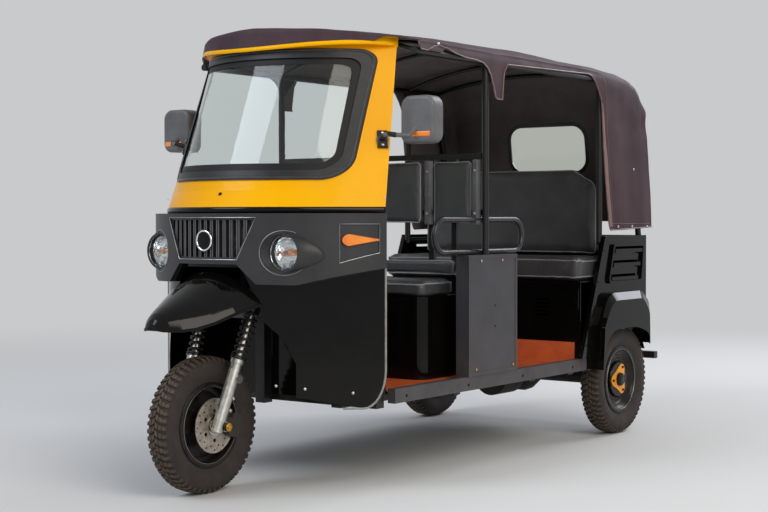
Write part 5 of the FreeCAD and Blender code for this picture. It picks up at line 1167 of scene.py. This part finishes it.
def nose_trims():
    """Gloss strip over the seam, pale rubber down the door edge, and bright lines round the indicator's field
    that are painted highlights.
    """
    section = ((-0.0125, -0.002), (-0.0118, 0.0035), (-0.007, 0.0066), (0.0, 0.0076), (0.007, 0.0066),
               (0.0118, 0.0035), (0.0125, -0.002))
    points = []
    across = [0.589 * math.sin(math.pi / 2 * k / 40) for k in range(-40, 41)]
    for x in across:
        for up, out in section:
            points.append((x, plan_y(x, NOSE, out), 1.1122 + up))
    piece("seam_strip", points, grid_faces(len(across), len(section)), BLACK, "root", flat_over=60)

    low = 0.335
    edge = [(0.5900, 1.096), (0.5900, low + 0.150)]
    for k in range(1, 9):
        turn = math.pi / 2 * k / 8
        edge.append((0.527 + 0.063 * math.cos(turn), low + 0.150 - 0.150 * math.sin(turn)))
    edge += [(0.500, low + 0.001), (0.470, low + 0.001)]
    route = [(p.x, plan_y(p.x, NOSE, 0.0006), p.y) for p in along([(x, z, 0) for x, z in edge], 0.012)]
    piece("door_edge_rubber", *both(tube_mesh(route, 0.0042, 8)), PALE_RUBBER, "root")

    # bright lines round the indicator's field, painted highlights
    field = ((0.494, 1.058), (0.494, 0.907), (0.582, 0.945), (0.582, 1.058))
    route = [(p.x, plan_y(p.x, BAND, 0.0002), p.y) for p in along([(x, z, 0) for x, z in field], 0.01, True)]
    piece("indicator_field_highlight", *both(tube_mesh(route, 0.0013, 6, True)), EDGE_HIGHLIGHT, "root")


def fixings():
    """Screw heads, axle nuts and the washer jet. Those of the tail panel are guessed."""
    zinc, dark, gold = [], [], []
    for x, z in ((0.279, 0.429), (0.365, 0.416), (0.498, 0.397)):
        y = plan_y(x, NOSE)
        out = Vector((x * 1.2 if x < 0.355 else 0.6, -1.0 if x < 0.355 else -0.6, 0))
        zinc.append(both(stud((x, y, z), out, 0.0055, 0.003)))
    zinc.append(both(stud((0.587, plan_y(0.587, NOSE) - 0.001, 1.163), (0.7, -0.7, 0), 0.004, 0.0025)))
    jet = (0.035, surround_y(0.035, 1.176), 1.176)
    dark.append(stud(jet, (0.05, -1, 0.5), 0.0070, 0.006))
    # pillar boxes, sills and mat
    zinc.append(both(stud((0.600, -0.1745, 0.896), (1, 0, 0), 0.0055, 0.003)))
    brassy = [both(stud((0.600, y, z), (1, 0, 0), 0.0055, 0.003))
              for y, z in ((-0.003, 0.896), (-0.215, 0.432), (0.088, 0.432))]
    for y in (-0.725, -0.269, 0.180, 0.640):
        dark.append(both(stud((0.596, y, 0.372), (1, 0, 0), 0.0060, 0.003)))
    for y in (-0.60, -0.15, 0.30, 0.62):
        zinc.append(both(stud((0.545, y, 0.3885), (0, 0, 1), 0.0055, 0.002)))
    # rear panels: along the rolled front edge, and the tail panel's border
    for share in (0.10, 0.36, 0.62, 0.88):
        y, z = 0.706 + 0.234 * share + 0.016, 0.409 + 0.583 * share
        dark.append(both(stud((0.612, y, z), (1, 0, 0), 0.0055, 0.003)))
    for x in (0.12, 0.36, 0.560):
        for z in (0.470, 0.965):
            zinc.append(both(stud((x, 1.4180, z), (0, 1, 0), 0.0055, 0.003)))
    piece("zinc_screws", *joined(zinc), ZINC, "root")
    piece("black_screws", *joined(dark), BLACK, "root")
    piece("yellow_zinc_screws", *joined(brassy), GOLD_ZINC, "root")
    for side in (1, -1):
        gold.append(nut((side * 0.1375, FRONT_AXLE.y, FRONT_AXLE.z), (side, 0, 0), 0.0115, 0.0085))
    piece("axle_nuts", *joined(gold), GOLD_ZINC, "steering")
    slider = []
    for up, back in ((0.052, -0.028), (0.100, -0.031)):
        slider.append(both(stud(steered(leg_x(up) + 0.015, back - 0.007, up), (1, 0.25, 0), 0.0085, 0.006)))
    piece("caliper_bolts", *joined(slider), ZINC, "steering")


headlamp_optics()
badge()
grille_dressing()
nose_trims()
fixings()


# Windscreen and mirrors


def screen_route(grow, low_radius, top_radius, out, step=0.012):
    """Closely spaced points round the windscreen opening, grown by grow and moved outward."""
    corners = [(0.452 + grow, 1.250 - grow, low_radius), (0.440 + grow, 1.742 + grow, top_radius),
               (-0.440 - grow, 1.742 + grow, top_radius), (-0.452 - grow, 1.250 - grow, low_radius)]
    outline = []
    for i, (x, z, radius) in enumerate(corners):
        here = Vector((x, z, 0))
        back = (Vector((*corners[i - 1][:2], 0)) - here).normalized()
        ahead = (Vector((*corners[(i + 1) % 4][:2], 0)) - here).normalized()
        half = back.angle(ahead) / 2
        middle = here + (back + ahead).normalized() * (radius / math.sin(half))
        reach = radius / math.tan(half)
        start, end = (here + back * reach - middle).normalized(), (here + ahead * reach - middle).normalized()
        for k in range(13):
            outline.append(middle + start.slerp(end, k / 12).normalized() * radius)
    return [Vector((p.x, surround_y(p.x, p.y, out), p.y)) for p in along(outline, step, True)]


def screen_dressing():
    """Raised bead of the rubber seal and the black border printed on the glass."""
    bead = screen_route(0.0115, 0.084, 0.056, 0.0035)
    piece("seal_bead", *tube_mesh(bead, 0.0056, 10, True), SEAL_BEAD, "root")
    border = []
    count = 260
    for grow, radius_low, radius_top in ((-0.046, 0.050, 0.034), (-0.015, 0.076, 0.050)):
        route = screen_route(grow, radius_low, radius_top, -0.0026, 0.006)
        lengths = [0.0]
        for a, b in zip(route, route[1:] + route[:1]):
            lengths.append(lengths[-1] + (b - a).length)
        for k in range(count):
            want = lengths[-1] * k / count
            i = max(n for n, done in enumerate(lengths[:-1]) if done <= want)
            a, b = route[i], route[(i + 1) % len(route)]
            border.append(a.lerp(b, (want - lengths[i]) / max(1e-9, lengths[i + 1] - lengths[i])))
    piece("screen_border", border, grid_faces(2, count, False, True), PRINT_AND_SHADE_BLACK, "root")


def visor_lip():
    """Flared sheet lip over the windscreen, below the canvas that is turned down over it."""
    section = ((0.0005, 0.006), (0.0030, 0.000), (0.0050, -0.0050), (0.0100, -0.0085), (0.0128, -0.0140),
               (0.0128, -0.0200), (0.0095, -0.0235), (0.0050, -0.0215), (0.0010, -0.012))
    points = []
    across = [0.4985 * math.sin(math.pi / 2 * k / 36) for k in range(-36, 37)]
    for x in across:
        for out, up in section:
            points.append((x, plan_y(x, VISOR, out), read_off(APRON, abs(x)) + up))
    count = len(section)
    faces = grid_faces(len(across), count, False, True)
    faces += [tuple(range(count)), tuple(range((len(across) - 1) * count, len(across) * count))]
    piece("visor_lip", points, faces, YELLOW, "root", flat_over=60)


def mirror_dressing():
    """Black brackets over the mirror feet and stems, and an amber repeater low on each head."""
    foot, out = Vector((0.5301, -0.7987, 1.391)), Vector((0.675, -0.675, 0.300))
    tangent = Vector((0.7071, 0.7071, 0))
    up = out.cross(tangent) if out.cross(tangent).z > 0 else tangent.cross(out)
    plate = []
    for lift, pinch in ((0.0004, 1.0), (0.0105, 1.0), (0.0140, 0.86)):
        for a, b in ((-0.020, -0.036), (0.020, -0.036), (0.020, 0.036), (-0.020, 0.036)):
            plate.append(foot + out * lift + tangent * a * pinch + up * b * pinch)
    faces = grid_faces(3, 4, False, True) + [(8, 9, 10, 11)]
    arm = [foot + out * 0.010, foot + out * 0.052, foot + out * 0.063 + Vector((0.010, 0.010, 0.002)),
           Vector((0.606, -0.811, 1.4068))]
    bolts = [stud(foot + out * 0.0138 + up * b, out, 0.0050, 0.003) for b in (-0.025, 0.025)]
    bracket = joined([(plate, faces), tube_mesh(arm, 0.0104, 14)])
    piece("mirror_brackets", *both(bracket), PLASTIC, "root")
    piece("mirror_bolts", *both(joined(bolts)), ZINC, "root")
    rounded_box("mirror_repeaters", (0.622, -0.7445, 1.402), (0.719, -0.736, 1.423), AMBER, "root", 0.0035,
                True)


visor_lip()
screen_dressing()
mirror_dressing()


# Wheels' outer faces


def wheel_dressing(name, centre, body, side, two_faced):
    """Stepped rings pressed in the dish, the flange's lip, on both faces if need be, a bright line on each
    lip that is a painted highlight, and the valve.
    """
    steps = [(0.0100, 0.0920), (0.0160, 0.0960), (0.0160, 0.1050), (0.0120, 0.1090), (0.0120, 0.1180),
             (0.0185, 0.1230), (0.0200, 0.1300), (0.0250, 0.1370), (0.0308, 0.1440), (0.0350, 0.1482)]
    lip = [(0.0395, 0.1490), (0.0416, 0.1515), (0.0416, 0.1655), (0.0392, 0.1690)]
    parts = [spun(steps + lip, centre, "X", 96, False, side)]
    if two_faced:
        parts.append(spun([(0.0300, 0.1480)] + lip, centre, "X", 96, False, -side))
    piece(name + "_rings", *joined(parts), WHEEL, body, flat_over=50)
    # a bright line on the flange's lip, a painted highlight
    lip_highlights = [hoop(centre + Vector((face * 0.0415, 0, 0)), 0.1510, 0.0011, "X", 96, 6)
            for face in ((1, -1) if two_faced else (side,))]
    piece(name + "_lip", *joined(lip_highlights), EDGE_HIGHLIGHT, body)
    turn = math.radians(150)
    at = centre + Vector((side * 0.016, 0.140 * math.cos(turn), 0.140 * math.sin(turn)))
    tip = at + Vector((side * 0.020, -0.016 * math.cos(turn), -0.016 * math.sin(turn)))
    valve = tube_mesh([at, at.lerp(tip, 0.7), tip], [0.0042, 0.0042, 0.0032], 10)
    piece(name + "_valve", *valve, GAITER, body)


def rear_hub(name, centre, body, side):
    """Black drum face in the dish, the three-lobed gold plate on it, its bolts, and the domed hub cap."""
    drum = [(0.0090, 0.0900), (0.0240, 0.0885), (0.0280, 0.0850), (0.0285, 0.0600), (0.0285, 0.0330)]
    cap = [(0.0455, 0.0322), (0.0468, 0.0300), (0.0492, 0.0180), (0.0498, 0.0004)]
    parts = [spun(drum, centre, "X", 72, False, side), spun(cap, centre, "X", 48, False, side)]
    piece(name + "_drum", *joined(parts), BLACK, body)
    points = []
    count = 120
    for level in (0.0288, 0.0332):
        for inner in (False, True):
            for k in range(count):
                turn = 2 * math.pi * k / count
                lobe = (0.5 + 0.5 * math.cos(3 * (turn - math.radians(62)))) ** 1.5
                radius = 0.0345 if inner else 0.0530 + 0.0290 * lobe
                spot = Vector((side * level, radius * math.cos(turn), radius * math.sin(turn)))
                points.append(centre + spot)
    # the outer wall, the face and the inner wall, each between two of the four rings
    faces = [(a * count + k, a * count + (k + 1) % count, b * count + (k + 1) % count, b * count + k)
             for a, b in ((0, 2), (2, 3), (3, 1)) for k in range(count)]
    piece(name + "_plate", points, faces, GOLD, body, flat_over=35)
    bolts = []
    for k in range(3):
        turn = math.radians(62 + 120 * k)
        at = centre + Vector((side * 0.0332, 0.066 * math.cos(turn), 0.066 * math.sin(turn)))
        bolts.append(hex_block(at, (side, 0, 0), 0.0070, 0.0060))
    piece(name + "_plate_bolts", *joined(bolts), BLACK, body)


def front_hub():
    """Turned hub rings outboard of the disc; the hub end on the other side is left plain."""
    rings = [(0.0616, 0.0410), (0.0660, 0.0405), (0.0665, 0.0310), (0.0705, 0.0300), (0.0710, 0.0235),
             (0.0748, 0.0225), (0.0750, 0.0125)]
    piece("front_hub_rings", *spun(rings, FRONT_AXLE, "X", 56, False, 1), FORK, "front_wheel", flat_over=30)


for tyre, centre, body, side in WHEELS:
    is_front = body == "front_wheel"
    wheel_dressing(tyre.replace("tyre", "rim"), centre, body, side, is_front)
    if not is_front:
        rear_hub(tyre.replace("tyre", "hub"), centre, body, side)
front_hub()


# Handlebar, partition, bench front and tail


def handlebar_dressing():
    """Ribbed rubber grips, two levers and a round dial without markings."""
    grips, levers = [], []
    end, inboard = Vector((0.345, 0.135, 0.885)), Vector((0.200, 0.020, 0.897))
    ahead = (end - inboard).normalized()
    for side in (1, -1):
        def on_bar(reach, shift=(0, 0, 0)):
            """A point of the bar measured from its end, on this side, turned into the vehicle's frame."""
            spot = end + ahead * reach + Vector(shift)
            return steered(side * spot.x, spot.y, spot.z)

        path = [on_bar(-0.119 + 0.124 * k / 46) for k in range(47)]
        sizes = [0.0186 if k % 2 else 0.0172 for k in range(47)]
        grips.append(tube_mesh(path, sizes, 20))
        for at in (-0.124, 0.003):
            grips.append(tube_mesh([on_bar(at), on_bar(at + 0.005)], 0.0225, 24))
        lever = [on_bar(-0.150, (0, -0.010, 0)), on_bar(-0.140, (0, -0.034, 0)),
                 on_bar(-0.090, (0, -0.046, -0.004)), on_bar(-0.020, (0, -0.044, -0.008)),
                 on_bar(0.006, (0, -0.050, -0.008))]
        levers.append(tube_mesh(lever, [0.0075, 0.0065, 0.0052, 0.0048, 0.0070], 12))
    piece("handlebar_grips", *joined(grips), GAITER, "steering")
    piece("brake_levers", *joined(levers), FORK, "steering")
    up = 0.885 + 0.022 + 0.028
    dial = []
    for k in range(48):
        turn = 2 * math.pi * k / 48
        dial.append(steered(0.040 * math.cos(turn), 0.015 + 0.028 * math.sin(turn), up + 0.0012))
    piece("dial_ring", *tube_mesh(dial, 0.0022, 8, True), CHROME, "steering")
    piece("dial_face", dial, [tuple(range(48))], BLACK, "steering")


def partition_strips():
    """Grey steel strips between and beside the partition's pads, each with two screws."""
    screws = []
    for number, (x, half) in enumerate(((0.298, 0.0135), (0.5475, 0.0115)), 1):
        rounded_box("partition_strip_%d" % number, (x - half, -0.1490, 1.052), (x + half, -0.1168, 1.334),
                    STRIP, "root", 0.003, True)
        for z in (1.100, 1.286):
            screws.append(both(stud((x, -0.1490, z), (0, -1, 0), 0.0060, 0.003)))
    piece("partition_screws", *joined(screws), ZINC, "root")


def tail_dressing():
    """Bezel and three coloured fields on each tail lamp."""
    for name, low, high, rear, finish in (("amber", 0.802, 0.843, 1.4555, AMBER),
                                          ("red", 0.748, 0.797, 1.4560, RED),
                                          ("clear", 0.697, 0.743, 1.4550, CLEAR_LENS)):
        rounded_box("tail_lamp_" + name, (0.427, 1.4450, low), (0.553, rear, high), finish, "root", 0.004,
                    True)
    corners = ((0.421, 0.691), (0.559, 0.691), (0.559, 0.849), (0.421, 0.849))
    bezel = along([(x, 1.4470, z) for x, z in corners], 0.02, True)
    piece("tail_lamp_bezels", *both(tube_mesh(bezel, 0.0048, 8, True)), PLASTIC, "root")


def along_edge(top, low, step=0.02):
    """Points down the front edge of the canopy's rear flap."""
    flap = [(z, y) for y, z in reversed(CANOPY_EDGE) if 0.9 < y < 1.03]
    count = int((top - low) / step)
    return [(read_off(flap, z), z) for z in (top + (low - top) * k / count for k in range(count + 1))]


def window_ring(canvas, grow, from_y, way, lift):
    """The rear window's outline, grown by grow, laid on the canvas from one side and lifted off it."""
    ring = []
    for x, z in window_outline(grow):
        at = canvas.ray_cast(Vector((x, from_y, z)), Vector((0, way, 0)))[1]
        ring.append(at + Vector((0, lift, 0)))
    return ring


def canopy_dressing(canvas):
    """Bound lower edge, hem and seams of the rear flap, its studs, and the rear window's borders. The hem is
    real; its lighter colour is a painted highlight of its glossy fold.
    """
    hems, folds, seams, studs = [], [], [], []
    side_seam = ((0.958, 1.775), (0.972, 1.661), (0.990, 1.464), (1.016, 1.268), (1.056, 1.040))
    stud_places = ((1.272, 1.326), (1.100, 1.036), (1.260, 1.036), (1.420, 1.036), (-0.485, 1.812))
    flap_edge = along_edge(1.640, 1.036)
    for side in (1, -1):
        edge = along([(side * 0.599, y, z) for y, z in CANOPY_EDGE], 0.012)
        hems.append(tube_mesh(on_skin(canvas, edge, 0.0006), 0.0036, 8))
        seam = along([(side * 0.603, y, z) for y, z in side_seam], 0.015)
        seams.append(tube_mesh(on_skin(canvas, seam, 0.0002), 0.0016, 6))
        low = along([(side * 0.603, y, 1.052) for y in (1.045, 1.250, 1.460)], 0.015)
        seams.append(tube_mesh(on_skin(canvas, low, 0.0002), 0.0014, 6))
        for y, z in stud_places:
            spot = on_skin(canvas, [(side * 0.603, y, z)], 0.0)[0]
            studs.append(stud(spot, (side, 0, 0), 0.0065, 0.004))
        rows = []
        for behind in (0.001, 0.012, 0.023, 0.034):
            # the hem narrows towards the top of the flap
            lane = [(side * 0.603, y + behind * (0.35 + 0.65 * (1.66 - z) / 0.3 if z > 1.36 else 1.0), z)
                    for y, z in flap_edge]
            rows += on_skin(canvas, lane, 0.0012)
        folds.append((rows, grid_faces(4, len(flap_edge))))
    piece("canopy_binding", *joined(hems), BINDING, "root")
    # the hem's lighter colour is a painted highlight
    piece("canopy_hem", *joined(folds), HEM_HIGHLIGHT, "root")
    piece("canopy_seams", *joined(seams), BINDING, "root")
    piece("canopy_studs", *joined(studs), ZINC, "root")

    inner, outer = (window_ring(canvas, grow, 2.0, -1, 0.0016) for grow in (0.003, 0.024))
    count = len(inner)
    sunk = Vector((0, -0.0030, 0))
    points = [p + sunk for p in inner] + inner + outer + [p + sunk for p in outer]
    piece("rear_window_border", points, grid_faces(4, count, False, True), BORDER, "root", flat_over=50)
    inside = window_ring(canvas, 0.003, 1.0, 1, -0.0012) + window_ring(canvas, 0.022, 1.0, 1, -0.0012)
    piece("rear_window_inner_border", inside, grid_faces(2, count, False, True), BORDER, "root")


handlebar_dressing()
partition_strips()
tail_dressing()
canopy_dressing(CANVAS_PIECE)


# Studio


FLOOR = "#DCDCDA"
BACKGROUND = "#C9CACB"
SKY = "#9DA1A6"
# Lamps: name, place, the point that they face, side length in metres, watts, colour.
LAMPS = (
    ("key", (7.6, -3.4, 5.6), (0, -0.2, 0.9), 5.5, 450, "#FFF7EC"),
    ("front", (-3.4, -8.0, 7.4), (0, -0.6, 1.0), 5.0, 450, "#EEF3FF"),
    ("rear", (1.5, 7.8, 5.6), (0, 0.6, 1.0), 5.0, 400, "#F4F6FF"),
)


def seen_directly(tree):
    """1 for the rays by which the camera, a gloss or a clear pane sees the background."""
    rays = add(tree, "LightPath")
    first = add(tree, "Math", {"operation": "MAXIMUM"}, n0=rays.outputs["Is Camera Ray"],
                n1=rays.outputs["Is Transmission Ray"])
    return add(tree, "Math", {"operation": "MAXIMUM"}, n0=first.outputs[0],
               n1=rays.outputs["Is Glossy Ray"]).outputs[0]


def studio():
    """A plain pale floor that runs into a background of the same tone, three soft lamps and a dim sky."""
    floor = bpy.data.meshes.new("studio_floor")
    floor.from_pydata([(-60, -60, 0), (60, -60, 0), (60, 60, 0), (-60, 60, 0)], [], [(0, 1, 2, 3)])
    ground = bpy.data.objects.new("studio_floor", floor)
    bpy.context.scene.collection.objects.link(ground)
    made, tree, shader = surface("pale_floor", Roughness=0.85, IOR=1.3)
    shader.inputs["Base Color"].default_value = linear(FLOOR)
    away = add(tree, "VectorMath", {"operation": "LENGTH"}, n0=place(tree)).outputs["Value"]
    far = add(tree, "MapRange", {"interpolation_type": "SMOOTHSTEP"}, Value=away, From_Min=3.2, From_Max=9.0)
    seen = seen_directly(tree)
    share = add(tree, "Math", {"operation": "MULTIPLY"}, n0=far.outputs[0], n1=seen).outputs[0]
    plain = add(tree, "Emission", Color=linear(BACKGROUND))
    mixed = add(tree, "MixShader", Fac=share, n1=shader.outputs[0], n2=plain.outputs[0])
    tree.links.new(mixed.outputs[0], tree.nodes["Material Output"].inputs["Surface"])
    floor.materials.append(made)

    world = bpy.data.worlds.new("studio")
    world.use_nodes = True
    bpy.context.scene.world = world
    tree = world.node_tree
    back = tree.nodes["Background"]
    tree.links.new(blend(tree, seen_directly(tree), SKY, BACKGROUND), back.inputs["Color"])
    back.inputs["Strength"].default_value = 1.0

    for name, at, aim, size, power, colour in LAMPS:
        lamp = bpy.data.lights.new(name, "AREA")
        lamp.size = size
        lamp.energy = power
        lamp.color = linear(colour)[:3]
        holder = bpy.data.objects.new(name, lamp)
        holder.location = at
        holder.rotation_euler = (Vector(aim) - Vector(at)).to_track_quat("-Z", "Y").to_euler()
        bpy.context.scene.collection.objects.link(holder)


def camera():
    """The photograph's camera as solved from it: where it stands, how it is turned, and its lens in mm."""
    azimuth, down, roll = math.radians(36.14), math.radians(1.496), math.radians(0.052)
    ahead = Vector((-math.sin(azimuth) * math.cos(down), math.cos(azimuth) * math.cos(down), -math.sin(down)))
    lens = bpy.data.cameras.new("camera")
    lens.lens = 68.61
    lens.sensor_width = 36
    lens.clip_end = 200
    holder = bpy.data.objects.new("camera", lens)
    holder.location = (3.962, -5.487, 1.082)
    turn = Matrix.Rotation(roll, 3, ahead) @ ahead.to_track_quat("-Z", "Y").to_matrix()
    holder.rotation_euler = turn.to_euler()
    bpy.context.scene.collection.objects.link(holder)
    bpy.context.scene.camera = holder


studio()
camera()
bpy.context.scene.view_settings.view_transform = "Standard"
